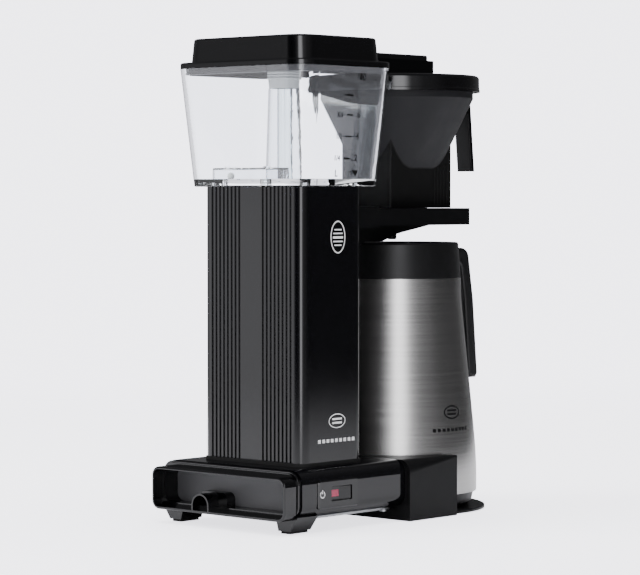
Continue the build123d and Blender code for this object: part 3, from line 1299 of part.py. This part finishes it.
# ---------------------------------------------------------------- carafe lid
# Dished lid with a grip bar. Coffee runs through its middle hole and down the mixing tube.
LID_R = LID_BORE_R - GAP
TUBE_OUT_R = 7.0
TUBE_IN_R = 5.4
LID_FOOT_Z = 200.3
with BuildPart() as carafe_lid:
    with BuildSketch(BREW_PLANE):
        with BuildLine():
            Polyline((TUBE_IN_R, 216), (38, 219), (41, CARAFE_TOP_Z - 0.3), (LID_R, CARAFE_TOP_Z - 0.3),
                     (LID_R, LID_FOOT_Z), (LID_R - 2.2, LID_FOOT_Z), (LID_R - 2.2, 216.5), (TUBE_OUT_R, 213),
                     (TUBE_IN_R, 213), close=True)
        make_face()
    revolve(axis=BREW_AXIS)
    for side in (-1, 1):
        with BuildSketch(Plane.XY.offset(215.5)):
            with Locations((BREW_X, side * 24)):
                RectangleRounded(7, 26, 2)
        extrude(amount=CARAFE_TOP_Z - 0.5 - 215.5)
write_piece(carafe_lid, "carafe_lid")

with BuildPart() as carafe_lid_seal:
    with BuildSketch(Plane.XY.offset(LID_FOOT_Z - 1.5)):
        with Locations((BREW_X, 0)):
            Circle(LID_R - 0.1)
            Circle(LID_R - 2.2, mode=Mode.SUBTRACT)
    extrude(amount=1.5)
write_piece(carafe_lid_seal, "carafe_lid_seal")

with BuildPart() as mixing_tube:
    with BuildSketch(Plane.XY.offset(32)):
        with Locations((BREW_X, 0)):
            Circle(TUBE_OUT_R)
            Circle(TUBE_IN_R, mode=Mode.SUBTRACT)
    extrude(amount=213 - 32)
write_piece(mixing_tube, "mixing_tube")
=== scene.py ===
import math

import bmesh
import bpy
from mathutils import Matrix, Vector


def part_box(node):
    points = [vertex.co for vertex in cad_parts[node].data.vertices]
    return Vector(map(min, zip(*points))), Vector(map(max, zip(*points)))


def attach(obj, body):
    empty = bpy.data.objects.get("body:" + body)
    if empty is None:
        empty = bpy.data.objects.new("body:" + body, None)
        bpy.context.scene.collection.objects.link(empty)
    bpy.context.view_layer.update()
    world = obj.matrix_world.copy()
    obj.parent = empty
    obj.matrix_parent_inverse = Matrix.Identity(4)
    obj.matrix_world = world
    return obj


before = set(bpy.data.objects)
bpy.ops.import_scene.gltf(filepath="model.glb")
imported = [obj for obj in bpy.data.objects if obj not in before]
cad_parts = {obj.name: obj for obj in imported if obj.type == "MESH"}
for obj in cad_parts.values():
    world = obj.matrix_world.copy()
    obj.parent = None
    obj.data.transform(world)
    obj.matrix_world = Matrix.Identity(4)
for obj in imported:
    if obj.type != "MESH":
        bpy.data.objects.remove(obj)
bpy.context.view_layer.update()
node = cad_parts
scene = bpy.context.scene

# ---------------------------------------------------------------- studio
# A long lens low in front of the switch side, a pale paper floor that fades out around the brewer, and soft
# lamps at the left, above and behind. The gloss pieces mirror two rings of sky with one bright softbox.
CAMERA_PLACE = (-1.6639, -1.4873, 0.264)
VIEW_HEADING = 42.4
VIEW_DIP = 1.97
LENS = 151.1
camera_data = bpy.data.cameras.new("camera")
camera_data.lens = LENS
camera_data.sensor_width = 36.0
camera_data.clip_end = 50.0
camera = bpy.data.objects.new("camera", camera_data)
camera.location = CAMERA_PLACE
camera.rotation_euler = (math.radians(90 - VIEW_DIP), 0, math.radians(VIEW_HEADING - 90))
scene.collection.objects.link(camera)
scene.camera = camera


def linear(hex_colour):
    """An sRGB hex colour such as "#8a8a8a" as linear red, green, blue and alpha."""
    values = [int(hex_colour[i:i + 2], 16) / 255 for i in (1, 3, 5)]
    return [v / 12.92 if v <= 0.04045 else ((v + 0.055) / 1.055) ** 2.4 for v in values] + [1.0]


def add(tree, kind, settings=None, links=None, **attributes):
    """Add a shader node, set its attributes and sockets, and link sockets to other nodes' outputs."""
    made = tree.nodes.new(kind)
    for key, value in attributes.items():
        setattr(made, key, value)
    for key, value in (settings or {}).items():
        made.inputs[key].default_value = value
    for key, output in (links or {}).items():
        tree.links.new(output, made.inputs[key])
    return made


world = bpy.data.worlds.new("studio")
world.use_nodes = True
scene.world = world
sky = world.node_tree
sky.nodes.clear()
direction = add(sky, "ShaderNodeTexCoord")
parts = add(sky, "ShaderNodeSeparateXYZ", links={0: direction.outputs["Generated"]})
heading = add(sky, "ShaderNodeMath", links={0: parts.outputs["Y"], 1: parts.outputs["X"]},
              operation="ARCTAN2")
turn = add(sky, "ShaderNodeMapRange", {"From Min": -math.pi, "From Max": math.pi},
           {"Value": heading.outputs[0]})


def sky_ring(stops):
    """Brightness all round the studio at one height, from (compass angle, brightness) pairs."""
    ramp = add(sky, "ShaderNodeValToRGB", links={"Fac": turn.outputs["Result"]})
    ramp.color_ramp.interpolation = "EASE"
    bands = ramp.color_ramp.elements
    for angle, grey in stops:
        band = bands.new((angle + 180) / 360)
        band.color = (grey, grey, grey * 1.04, 1)
    bands.remove(bands[0])
    bands.remove(bands[-1])
    return ramp.outputs["Color"]


SOFTBOX = 5.6
low_ring = sky_ring((
    (-179, 0.03), (-163, 0.08), (-149, 0.40), (-139.5, SOFTBOX), (-132, SOFTBOX), (-118, 0.6), (-98, 0.28),
    (-62, 0.07), (-20, 0.06), (10, 0.2), (60, 0.3), (105, 0.6), (124, 1.6), (150, 1.6), (166, 0.2),
    (179, 0.03)))
high_ring = sky_ring((
    (-179, 0.02), (-163, 0.08), (-149, 0.40), (-139.5, SOFTBOX), (-132, SOFTBOX), (-118, 0.6), (-98, 0.26),
    (-62, 0.10), (-20, 0.09), (10, 0.12), (60, 0.12), (105, 0.2), (150, 0.45), (166, 0.06),
    (179, 0.02)))
height = add(sky, "ShaderNodeMapRange", {"From Min": 0.0, "From Max": 0.06}, {"Value": parts.outputs["Z"]},
             interpolation_type="SMOOTHSTEP")
rings = add(sky, "ShaderNodeMix", links={0: height.outputs["Result"], 6: low_ring, 7: high_ring},
            data_type="RGBA")
roof = add(sky, "ShaderNodeMapRange", {"From Min": 0.35, "From Max": 0.8}, {"Value": parts.outputs["Z"]},
           interpolation_type="SMOOTHSTEP")
ROOF_GREY = (0.16, 0.16, 0.165, 1)
tones = add(sky, "ShaderNodeMix", {7: ROOF_GREY}, {0: roof.outputs["Result"], 6: rings.outputs[2]},
            data_type="RGBA")
surround = add(sky, "ShaderNodeBackground", {"Strength": 1.0}, {"Color": tones.outputs[2]})
# The pale backdrop is seen directly and through clear pieces, and less brightly after a mirror bounce.
SEEN_GREY = 4.5
MIRROR_LOSS = 0.62
backdrop = add(sky, "ShaderNodeBackground", {"Color": linear("#f5f4fd"), "Strength": SEEN_GREY})
ray = add(sky, "ShaderNodeLightPath")
mirrored = add(sky, "ShaderNodeMath", links={0: ray.outputs["Glossy Depth"], 1: ray.outputs["Diffuse Depth"]},
               operation="ADD")
direct = add(sky, "ShaderNodeMath", {1: -MIRROR_LOSS, 2: 1.0}, {0: mirrored.outputs[0]},
             operation="MULTIPLY_ADD", use_clamp=True)
through = add(sky, "ShaderNodeMath", links={0: ray.outputs["Is Transmission Ray"], 1: direct.outputs[0]},
              operation="MULTIPLY")
straight = add(sky, "ShaderNodeMath", links={0: ray.outputs["Is Camera Ray"], 1: through.outputs[0]},
               operation="MAXIMUM")
seen = add(sky, "ShaderNodeMixShader", links={0: straight.outputs[0], 1: surround.outputs[0],
                                              2: backdrop.outputs[0]})
add(sky, "ShaderNodeOutputWorld", links={"Surface": seen.outputs[0]})

LAMPS = (
    ("left_lamp", (-1.5, 1.1, 1.3), (1.4, 1.4), 54.0),
    ("top_lamp", (0.0, -0.2, 2.2), (2.4, 2.4), 112.0),
    ("back_lamp", (1.6, 1.5, 1.4), (1.2, 1.2), 30.0),
)
for name, place, size, power in LAMPS:
    lamp_data = bpy.data.lights.new(name, "AREA")
    lamp_data.shape = "RECTANGLE"
    lamp_data.size, lamp_data.size_y = size
    lamp_data.energy = power
    lamp = bpy.data.objects.new(name, lamp_data)
    lamp.location = place
    lamp.rotation_euler = (Vector((0, 0, 0.2)) - Vector(place)).to_track_quat("-Z", "Y").to_euler()
    lamp.visible_glossy = False
    scene.collection.objects.link(lamp)

FLOOR_R = 4.0
FLOOR_DROP = 0.0004
FLOOR_GLOW = 2.4
FADE_START, FADE_END = 0.35, 1.8
floor_mesh = bpy.data.meshes.new("floor")
shape = bmesh.new()
bmesh.ops.create_circle(shape, cap_ends=True, segments=96, radius=FLOOR_R)
shape.to_mesh(floor_mesh)
shape.free()
floor = bpy.data.objects.new("floor", floor_mesh)
floor.location = (0, 0, -FLOOR_DROP)
scene.collection.objects.link(floor)
sweep = bpy.data.materials.new("pale_paper_floor")
sweep.use_nodes = True
tree = sweep.node_tree
tree.nodes.clear()
place = add(tree, "ShaderNodeTexCoord")
reach = add(tree, "ShaderNodeVectorMath", links={0: place.outputs["Object"]}, operation="LENGTH")
fade = add(tree, "ShaderNodeMapRange", {"From Min": FADE_START, "From Max": FADE_END},
           {"Value": reach.outputs["Value"]}, interpolation_type="SMOOTHSTEP")
paper = add(tree, "ShaderNodeBsdfPrincipled",
            {"Base Color": linear("#eeeef3"), "Roughness": 0.42, "IOR": 1.45})
glow = add(tree, "ShaderNodeLightPath")
glow_seen = add(tree, "ShaderNodeMath", {1: FLOOR_GLOW}, {0: glow.outputs["Is Camera Ray"]},
                operation="MULTIPLY")
lit = add(tree, "ShaderNodeEmission", {"Color": linear("#f5f4fd")}, {"Strength": glow_seen.outputs[0]})
whole = add(tree, "ShaderNodeAddShader", links={0: paper.outputs[0], 1: lit.outputs[0]})
clear = add(tree, "ShaderNodeBsdfTransparent")
edge = add(tree, "ShaderNodeMixShader",
           links={0: fade.outputs["Result"], 1: whole.outputs[0], 2: clear.outputs[0]})
add(tree, "ShaderNodeOutputMaterial", links={"Surface": edge.outputs[0]})
floor_mesh.materials.append(sweep)

# ---------------------------------------------------------------- base housing and column shell
# Extruded aluminium with gloss black powder paint. Powder paint is smooth but keeps a faint orange peel
# about 2 mm across, so long reflections waver a little.


def surface(name, colour, roughness, ior=1.5, metallic=0.0, grain_mm=2.0, grain=0.02, vary=0.05, **more):
    """A finished surface with fine relief and an uneven sheen. Grain is the relief's depth in millimetres."""
    material = bpy.data.materials.new(name)
    material.use_nodes = True
    tree = material.node_tree
    tree.nodes.clear()
    place = add(tree, "ShaderNodeTexCoord")
    relief = add(tree, "ShaderNodeTexNoise", {"Scale": 1000.0 / grain_mm, "Detail": 3.0, "Roughness": 0.55},
                 {"Vector": place.outputs["Object"]})
    broad = add(tree, "ShaderNodeTexNoise", {"Scale": 1000.0 / (grain_mm * 14), "Detail": 2.0},
                {"Vector": place.outputs["Object"]})
    bump = add(tree, "ShaderNodeBump", {"Strength": 1.0, "Distance": grain * 0.001},
               {"Height": relief.outputs["Fac"]})
    sheen = add(tree, "ShaderNodeMapRange", {"To Min": roughness - vary, "To Max": roughness + vary},
                {"Value": broad.outputs["Fac"]})
    dark = [c * 0.86 for c in linear(colour)[:3]] + [1.0]
    light = [min(c * 1.14, 1.0) for c in linear(colour)[:3]] + [1.0]
    tone = add(tree, "ShaderNodeMix", {6: dark, 7: light}, {0: relief.outputs["Fac"]}, data_type="RGBA")
    settings = {"Metallic": metallic}
    if metallic < 0.5:
        settings["IOR"] = ior
    settings.update(more)
    shader = add(tree, "ShaderNodeBsdfPrincipled", settings,
                 {"Base Color": tone.outputs[2], "Roughness": sheen.outputs["Result"],
                  "Normal": bump.outputs["Normal"]})
    add(tree, "ShaderNodeOutputMaterial", links={"Surface": shader.outputs[0]})
    return material


def finish_nodes(material, *names):
    """Give this material to CAD nodes."""
    for name in names:
        mesh = node[name].data
        mesh.materials.clear()
        mesh.materials.append(material)


gloss_paint = surface("gloss_black_powder_paint", "#040406", 0.10, ior=1.5, grain_mm=2.2, grain=0.0012,
                      vary=0.03)
finish_nodes(gloss_paint, "base_housing", "column_shell")

# ---------------------------------------------------------------- end cap, cord outlet and feet
# Injection moulded gloss ABS. The panel in the recess is plain and satin, the grommet and pads are rubber.
gloss_abs = surface("gloss_black_moulded_abs", "#030304", 0.09, ior=1.53, grain_mm=6.0, grain=0.002,
                    vary=0.03)
finish_nodes(gloss_abs, "end_cap", "cord_tunnel", "corner_feet", "switch_plate", "arm_cap", "tank_lid",
             "basket_lid")
recess_abs = surface("satin_moulded_abs_panel", "#4a4a4c", 0.45, grain_mm=0.8, grain=0.02, vary=0.06)
finish_nodes(recess_abs, "end_panel")
rubber = surface("black_moulded_rubber", "#151515", 0.75, ior=1.52, grain_mm=0.9, grain=0.03, vary=0.08)
finish_nodes(rubber, "cord_grommet", "foot_pads", "column_gasket")

# ---------------------------------------------------------------- carafe bracket and disc
# Fine matt spark-eroded texture on moulded ABS, which spreads highlights wide and soft.
matt_abs = surface("matt_spark_eroded_abs", "#0b0b0c", 0.4, grain_mm=0.7, grain=0.02, vary=0.05,
                   **{"Specular IOR Level": 0.2})
finish_nodes(matt_abs, "carafe_bracket", "carafe_disc")

# ---------------------------------------------------------------- screws, plates and boiler
# Zinc plated steel with a faint blotchy passivation, and a drawn copper tube with a stainless rod. The
# insulators are white moulded plastic, and the hoses and seals are natural silicone rubber.
zinc = surface("zinc_plated_steel", "#b9bbbd", 0.35, metallic=1.0, grain_mm=1.5, grain=0.01, vary=0.1)
finish_nodes(zinc, "base_plate", "base_screws", "column_foot", "column_screws", "tank_screws",
             "boiler_clamps", "thermostat_strip", "shelf_screws", "basket_handle_screw")
copper = surface("drawn_copper_tube", "#b87356", 0.3, metallic=1.0, grain_mm=3.0, grain=0.01, vary=0.1)
finish_nodes(copper, "boiler_tube")
blade = surface("stamped_brass", "#b99a55", 0.3, metallic=1.0, grain_mm=1.0, grain=0.01, vary=0.08)
finish_nodes(blade, "switch_terminals")
sheath = surface("drawn_stainless_sheath", "#a9a9a9", 0.3, metallic=1.0, grain_mm=1.2, grain=0.01, vary=0.08)
finish_nodes(sheath, "heating_rod", "drip_spring")
insulator = surface("white_moulded_insulator", "#dad9d2", 0.5, grain_mm=0.8, grain=0.02, vary=0.06)
finish_nodes(insulator, "terminal_block", "thermostats")
silicone = surface("natural_silicone_rubber", "#d8d8d0", 0.5, ior=1.41, grain_mm=1.2, grain=0.02, vary=0.06)
finish_nodes(silicone, "riser_hose", "supply_hose", "outlet_seal", "drip_seal", "carafe_lid_seal",
             "check_ball")

# ---------------------------------------------------------------- rocker switch
# Gloss moulded rocker with a red polycarbonate lens at one end, in a satin body. A power mark in white
# pad-printing ink stands beside it on the plate.
rocker_abs = surface("gloss_moulded_rocker", "#101011", 0.14, ior=1.49, grain_mm=2.0, grain=0.004, vary=0.03)
finish_nodes(rocker_abs, "rocker")
switch_abs = surface("satin_moulded_switch_body", "#161617", 0.4, grain_mm=0.9, grain=0.02, vary=0.05)
finish_nodes(switch_abs, "switch_body")
lens = surface("red_moulded_polycarbonate", "#a52a4c", 0.2, ior=1.585, grain_mm=1.0, grain=0.01, vary=0.04)
finish_nodes(lens, "rocker_lens")

white_ink = surface("white_pad_print", "#e4e4e4", 0.55, grain_mm=0.3, grain=0.004, vary=0.05)
PRINT_LIFT = 0.00008


def printed(name, outlines, place, material, body):
    """A printed mark from closed outlines in millimetres, which place(across, up) lays on a surface."""
    shape = bmesh.new()
    for outline in outlines:
        shape.faces.new([shape.verts.new(place(x, y)) for x, y in outline])
    bmesh.ops.triangulate(shape, faces=shape.faces[:])
    bmesh.ops.recalc_face_normals(shape, faces=shape.faces[:])
    mesh = bpy.data.meshes.new(name)
    shape.to_mesh(mesh)
    shape.free()
    mesh.materials.append(material)
    piece = bpy.data.objects.new(name, mesh)
    scene.collection.objects.link(piece)
    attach(piece, body)


def arc_parts(outer, inner, steps, start, turn):
    """Short four-sided pieces that make an arc, in millimetres and degrees."""
    parts = []
    for i in range(steps):
        a, b = (math.radians(start + turn * k / steps) for k in (i, i + 1))
        parts.append([(outer * math.cos(a), outer * math.sin(a)), (outer * math.cos(b), outer * math.sin(b)),
                      (inner * math.cos(b), inner * math.sin(b)), (inner * math.cos(a), inner * math.sin(a))])
    return parts


def bar(x0, y0, x1, y1):
    """One upright rectangle, in millimetres."""
    return [(x0, y0), (x1, y0), (x1, y1), (x0, y1)]


PLATE_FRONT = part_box("switch_plate")[0].y
POWER_X, POWER_Z = -0.1160, 0.0297


def on_switch_plate(across, up):
    """Lays a mark on the switch plate's front."""
    return (POWER_X + across / 1000, PLATE_FRONT - PRINT_LIFT, POWER_Z + up / 1000)


power_mark = arc_parts(2.9, 2.1, 30, 120, 300) + [bar(-0.4, 0.6, 0.4, 3.6)]
printed("power_mark", power_mark, on_switch_plate, white_ink, "brewer")

# ---------------------------------------------------------------- column cover, arm and shelf
# Satin moulded polypropylene, a little coarser than the gloss parts. The plain badges on the painted column
# are pad printed in white.
satin_pp = surface("satin_moulded_polypropylene", "#040405", 0.34, grain_mm=1.0, grain=0.012, vary=0.05,
                   **{"Specular IOR Level": 0.2})
finish_nodes(satin_pp, "column_cover", "column_top", "outlet_arm", "spray_plate", "basket_shelf",
             "basket_handle", "drip_plunger")

COLUMN_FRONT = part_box("column_shell")[0].y


def on_column(x, z):
    """A function that lays a mark on the column's front face around a point."""
    def lay(across, up):
        return ((x + across) / 1000, COLUMN_FRONT - PRINT_LIFT, (z + up) / 1000)
    return lay


def oval_frame(half_wide, half_tall, thick, steps=56):
    """A plain upright or lying oval line, in millimetres."""
    parts = []
    for i in range(steps):
        a, b = (2 * math.pi * k / steps for k in (i, i + 1))
        outer = [(half_wide * math.cos(t), half_tall * math.sin(t)) for t in (a, b)]
        inner = [((half_wide - thick) * math.cos(t), (half_tall - thick) * math.sin(t)) for t in (b, a)]
        parts.append(outer + inner)
    return parts


def split_bar(x0, y0, x1, y1, step=2.0):
    """A rectangle in pieces no wider than a step, so that it can follow a round wall."""
    count = max(1, math.ceil((x1 - x0) / step))
    wide = (x1 - x0) / count
    return [bar(x0 + i * wide, y0, x0 + (i + 1) * wide, y1) for i in range(count)]


SEAL_BARS = ((4.2, 5.4, 1.0), (5.6, 2.4, 1.0), (6.0, -1.2, 1.8), (5.6, -4.0, 1.0), (4.2, -7.0, 1.0))
seal_marks = oval_frame(8.7, 13.0, 0.9)
for half, low_edge, thick in SEAL_BARS:
    seal_marks.append(bar(-half, low_edge, half, low_edge + thick))
printed("column_seal", seal_marks, on_column(-74.0, 230.6), white_ink, "brewer")


def plain_badge(wide, drop, line=0.75):
    """A lying oval line round two plain bars, over a row of nine small blocks, in millimetres."""
    blocks = 9
    inner = wide * 0.19
    marks = oval_frame(wide * 0.33, 5.8, line)
    marks += split_bar(-inner, 0.8, inner, 2.3) + split_bar(-inner, -2.3, inner, -0.8)
    step = wide * 1.5 / blocks
    for i in range(blocks):
        left = -wide * 0.75 + i * step
        marks += split_bar(left, drop - 1.4, left + step * 0.66, drop + 1.4)
    return marks


printed("column_mark", plain_badge(30, -15.5), on_column(-75.0, 84.0), white_ink, "brewer")

# ---------------------------------------------------------------- tank and its fittings
# Clear injection moulded copolyester: colourless through the wall and brighter at its edges. The riser
# is borosilicate glass, and its threaded collar is milky polypropylene. The level marks are black ink.
FLOW_MM = 83.333


def clear_plastic(name, colour, ior, roughness=0.02):
    """A clear wall that bends what is seen through it, but lets lamp light pass straight."""
    material = bpy.data.materials.new(name)
    material.use_nodes = True
    tree = material.node_tree
    tree.nodes.clear()
    place = add(tree, "ShaderNodeTexCoord")
    flow = add(tree, "ShaderNodeTexNoise", {"Scale": 1000 / FLOW_MM, "Detail": 1.0},
               {"Vector": place.outputs["Object"]})
    bump = add(tree, "ShaderNodeBump", {"Strength": 0.4, "Distance": 0.00001},
               {"Height": flow.outputs["Fac"]})
    shader = add(tree, "ShaderNodeBsdfPrincipled",
                 {"Base Color": linear(colour), "Roughness": roughness, "IOR": ior,
                  "Transmission Weight": 1.0},
                 {"Normal": bump.outputs["Normal"]})
    ray = add(tree, "ShaderNodeLightPath")
    clear = add(tree, "ShaderNodeBsdfTransparent", {"Color": linear("#f4f6f8")})
    mixed = add(tree, "ShaderNodeMixShader", links={0: ray.outputs["Is Shadow Ray"], 1: shader.outputs[0],
                                                    2: clear.outputs[0]})
    add(tree, "ShaderNodeOutputMaterial", links={"Surface": mixed.outputs[0]})
    return material


tank_clear = clear_plastic("clear_moulded_copolyester", "#f6f8fa", 1.47)
finish_nodes(tank_clear, "tank", "valve_cover", "riser_guard")
glass = clear_plastic("drawn_borosilicate_glass", "#f4f8f8", 1.47)
finish_nodes(glass, "riser_tube")
milky = surface("natural_moulded_polypropylene", "#c9cccd", 0.4, grain_mm=1.0, grain=0.01, vary=0.05)
finish_nodes(milky, "riser_collar")

dark_ink = surface("black_pad_print", "#0c0c0d", 0.55, grain_mm=0.3, grain=0.004, vary=0.05,
                   **{"Specular IOR Level": 0.1})
# Half the tank's width front to back near its rim and near its floor, and the two heights, in metres.
RIM_HALF, FOOT_HALF = 0.07275, 0.0639
RIM_Z, FOOT_Z = 0.366, 0.2707


def on_tank(x, z):
    """A function that lays a mark on the tank's sloping front wall around a point."""
    slope = (RIM_HALF - FOOT_HALF) / (RIM_Z - FOOT_Z)
    up_axis = Vector((0, -slope, 1)).normalized()
    out = Vector((0, -1, -slope)).normalized()
    start = Vector((x / 1000, -(FOOT_HALF + slope * (z / 1000 - FOOT_Z)), z / 1000)) + out * PRINT_LIFT

    def lay(across, up):
        return start + Vector((across / 1000, 0, 0)) + up_axis * (up / 1000)
    return lay


def figure(name, text, height, place, material, body):
    """A printed figure from the built-in plain letter shapes, laid on a surface."""
    curve = bpy.data.curves.new(name, "FONT")
    curve.body = text
    curve.align_x = "CENTER"
    curve.align_y = "CENTER"
    curve.size = height * 1.45
    curve.offset = 0.12
    flat = bpy.data.objects.new(name + "_flat", curve)
    scene.collection.objects.link(flat)
    bpy.context.view_layer.update()
    mesh = bpy.data.meshes.new_from_object(flat)
    bpy.data.objects.remove(flat)
    for vertex in mesh.vertices:
        vertex.co = place(vertex.co.x, vertex.co.y)
    mesh.materials.clear()
    mesh.materials.append(material)
    mesh.name = name
    piece = bpy.data.objects.new(name, mesh)
    scene.collection.objects.link(piece)
    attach(piece, body)


CUP_LEVELS = (("level_10", "10", -63.6, 357.4), ("level_6", "6", -65.0, 327.6),
              ("level_4", "4", -65.2, 310.6), ("level_2", "2", -65.5, 293.3))
LITRE_LEVELS = (("level_quarters_3", "3/4", -87.3, 327.2), ("level_half", "1/2", -87.0, 310.3),
                ("level_quarter", "1/4", -87.6, 293.1), ("level_litre", "L", -87.4, 281.0))
DASHES = (("dash_8", -76.3, 343.0), ("dash_6", -75.7, 327.4), ("dash_4", -75.7, 310.4),
          ("dash_2", -76.3, 293.1))
FIGURE_TALL, FRACTION_TALL = 5.3, 3.9
for name, text, x, z in CUP_LEVELS + LITRE_LEVELS:
    height = FRACTION_TALL if "/" in text else FIGURE_TALL
    figure(name, text, height, on_tank(x, z), dark_ink, "brewer")
for name, x, z in DASHES:
    printed(name, [bar(-3.7, -0.65, 3.7, 0.65)], on_tank(x, z), dark_ink, "brewer")
printed("fill_arrow", [[(-3.4, 2.6), (3.4, 2.6), (0, -2.6)]], on_tank(-64.9, 281.0), dark_ink, "brewer")

# ---------------------------------------------------------------- basket
# One moulding in matt polypropylene with a fine texture, all in the cone's grey. The straight skirt between
# the cone and the shelf gets painted shade, a nearly black colour, so it shows darker than the cone.
matt_pp = surface("matt_moulded_polypropylene", "#1a1a1c", 0.6, grain_mm=0.8, grain=0.03, vary=0.06,
                  **{"Specular IOR Level": 0.2})
SKIRT_HALF_X, SKIRT_HALF_Y = 0.0400, 0.0282
BASKET_X = 0.061
tree = matt_pp.node_tree
body_shader = next(n for n in tree.nodes if n.type == "BSDF_PRINCIPLED")
old_tone = body_shader.inputs["Base Color"].links[0].from_socket
place = add(tree, "ShaderNodeTexCoord")
moved = add(tree, "ShaderNodeVectorMath", {1: (BASKET_X, 0, 0)}, {0: place.outputs["Object"]},
            operation="SUBTRACT")
folded = add(tree, "ShaderNodeVectorMath", links={0: moved.outputs["Vector"]}, operation="ABSOLUTE")
sides = add(tree, "ShaderNodeVectorMath", {1: (SKIRT_HALF_X, SKIRT_HALF_Y, 10.0)},
            {0: folded.outputs["Vector"]}, operation="DIVIDE")
apart = add(tree, "ShaderNodeSeparateXYZ", links={0: sides.outputs["Vector"]})
widest = add(tree, "ShaderNodeMath", links={0: apart.outputs["X"], 1: apart.outputs["Y"]},
             operation="MAXIMUM")
# Painted shade: inside the skirt's box the moulding's colour is swapped for near black.
skirt_shade_mask = add(tree, "ShaderNodeMath", {1: 1.0}, {0: widest.outputs[0]}, operation="LESS_THAN")
skirt_painted_shade = add(tree, "ShaderNodeMix", {7: linear("#030303")}, {0: skirt_shade_mask.outputs[0], 6: old_tone},
                 data_type="RGBA")
tree.links.new(skirt_painted_shade.outputs[2], body_shader.inputs["Base Color"])
finish_nodes(matt_pp, "brew_basket")

# ---------------------------------------------------------------- carafe
# Stainless steel turned and brushed round the body: fine lines run around it, so the reflections stay in
# upright bands. The lines are drawn coarser than the real grit, so that they show. The collar, lid and
# handle are satin moulded plastic, and the badge is black pad print.
carafe_low, carafe_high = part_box("carafe_shell")
CARAFE_X = (carafe_low.x + carafe_high.x) / 2
BRUSH_MM = 1.2
brushed = bpy.data.materials.new("brushed_stainless_steel")
brushed.use_nodes = True
tree = brushed.node_tree
tree.nodes.clear()
place = add(tree, "ShaderNodeTexCoord")
centred = add(tree, "ShaderNodeVectorMath", {1: (CARAFE_X, 0, 0)}, {0: place.outputs["Object"]},
              operation="SUBTRACT")
lines = add(tree, "ShaderNodeVectorMath", {1: (0.012, 0.012, 1.0)}, {0: centred.outputs["Vector"]},
            operation="MULTIPLY")
strokes = add(tree, "ShaderNodeTexNoise", {"Scale": 1000 / BRUSH_MM, "Detail": 1.0, "Roughness": 0.5},
              {"Vector": lines.outputs["Vector"]})
tone = add(tree, "ShaderNodeMix", {6: linear("#a5a4a2"), 7: linear("#b8b7b5")}, {0: strokes.outputs["Fac"]},
           data_type="RGBA")
sheen = add(tree, "ShaderNodeMapRange", {"To Min": 0.20, "To Max": 0.26}, {"Value": strokes.outputs["Fac"]})
bump = add(tree, "ShaderNodeBump", {"Strength": 1.0, "Distance": 0.000002},
           {"Height": strokes.outputs["Fac"]})
around = add(tree, "ShaderNodeVectorMath", {1: (0, 0, 1)}, {0: centred.outputs["Vector"]},
             operation="CROSS_PRODUCT")
steel = add(tree, "ShaderNodeBsdfPrincipled", {"Metallic": 1.0, "Anisotropic": 0.55},
            {"Base Color": tone.outputs[2], "Roughness": sheen.outputs["Result"],
             "Normal": bump.outputs["Normal"], "Tangent": around.outputs["Vector"]})
add(tree, "ShaderNodeOutputMaterial", links={"Surface": steel.outputs[0]})
finish_nodes(brushed, "carafe_shell", "carafe_liner")
handle_pp = surface("satin_moulded_handle", "#09090a", 0.38, grain_mm=1.0, grain=0.012, vary=0.05,
                    **{"Specular IOR Level": 0.3})
finish_nodes(handle_pp, "carafe_base_ring", "carafe_collar", "carafe_handle", "carafe_lid", "mixing_tube")

carafe_wall = node["carafe_shell"]
WALL_REACH = 0.12
BADGE_Z = 83.5
BADGE_TURN = math.radians(-93.0)
WALL_R = 64.0


def on_carafe(across, up):
    """Lays a mark on the carafe's round wall."""
    height = (BADGE_Z + up) / 1000
    angle = BADGE_TURN + across / WALL_R
    outward = Vector((math.cos(angle), math.sin(angle), 0))
    start = Vector((CARAFE_X, 0, height)) + outward * WALL_REACH
    _, touch, normal, _ = carafe_wall.ray_cast(start, -outward)
    return touch + normal * PRINT_LIFT


printed("carafe_mark", plain_badge(28, -14.5, line=1.3), on_carafe, dark_ink, "carafe")
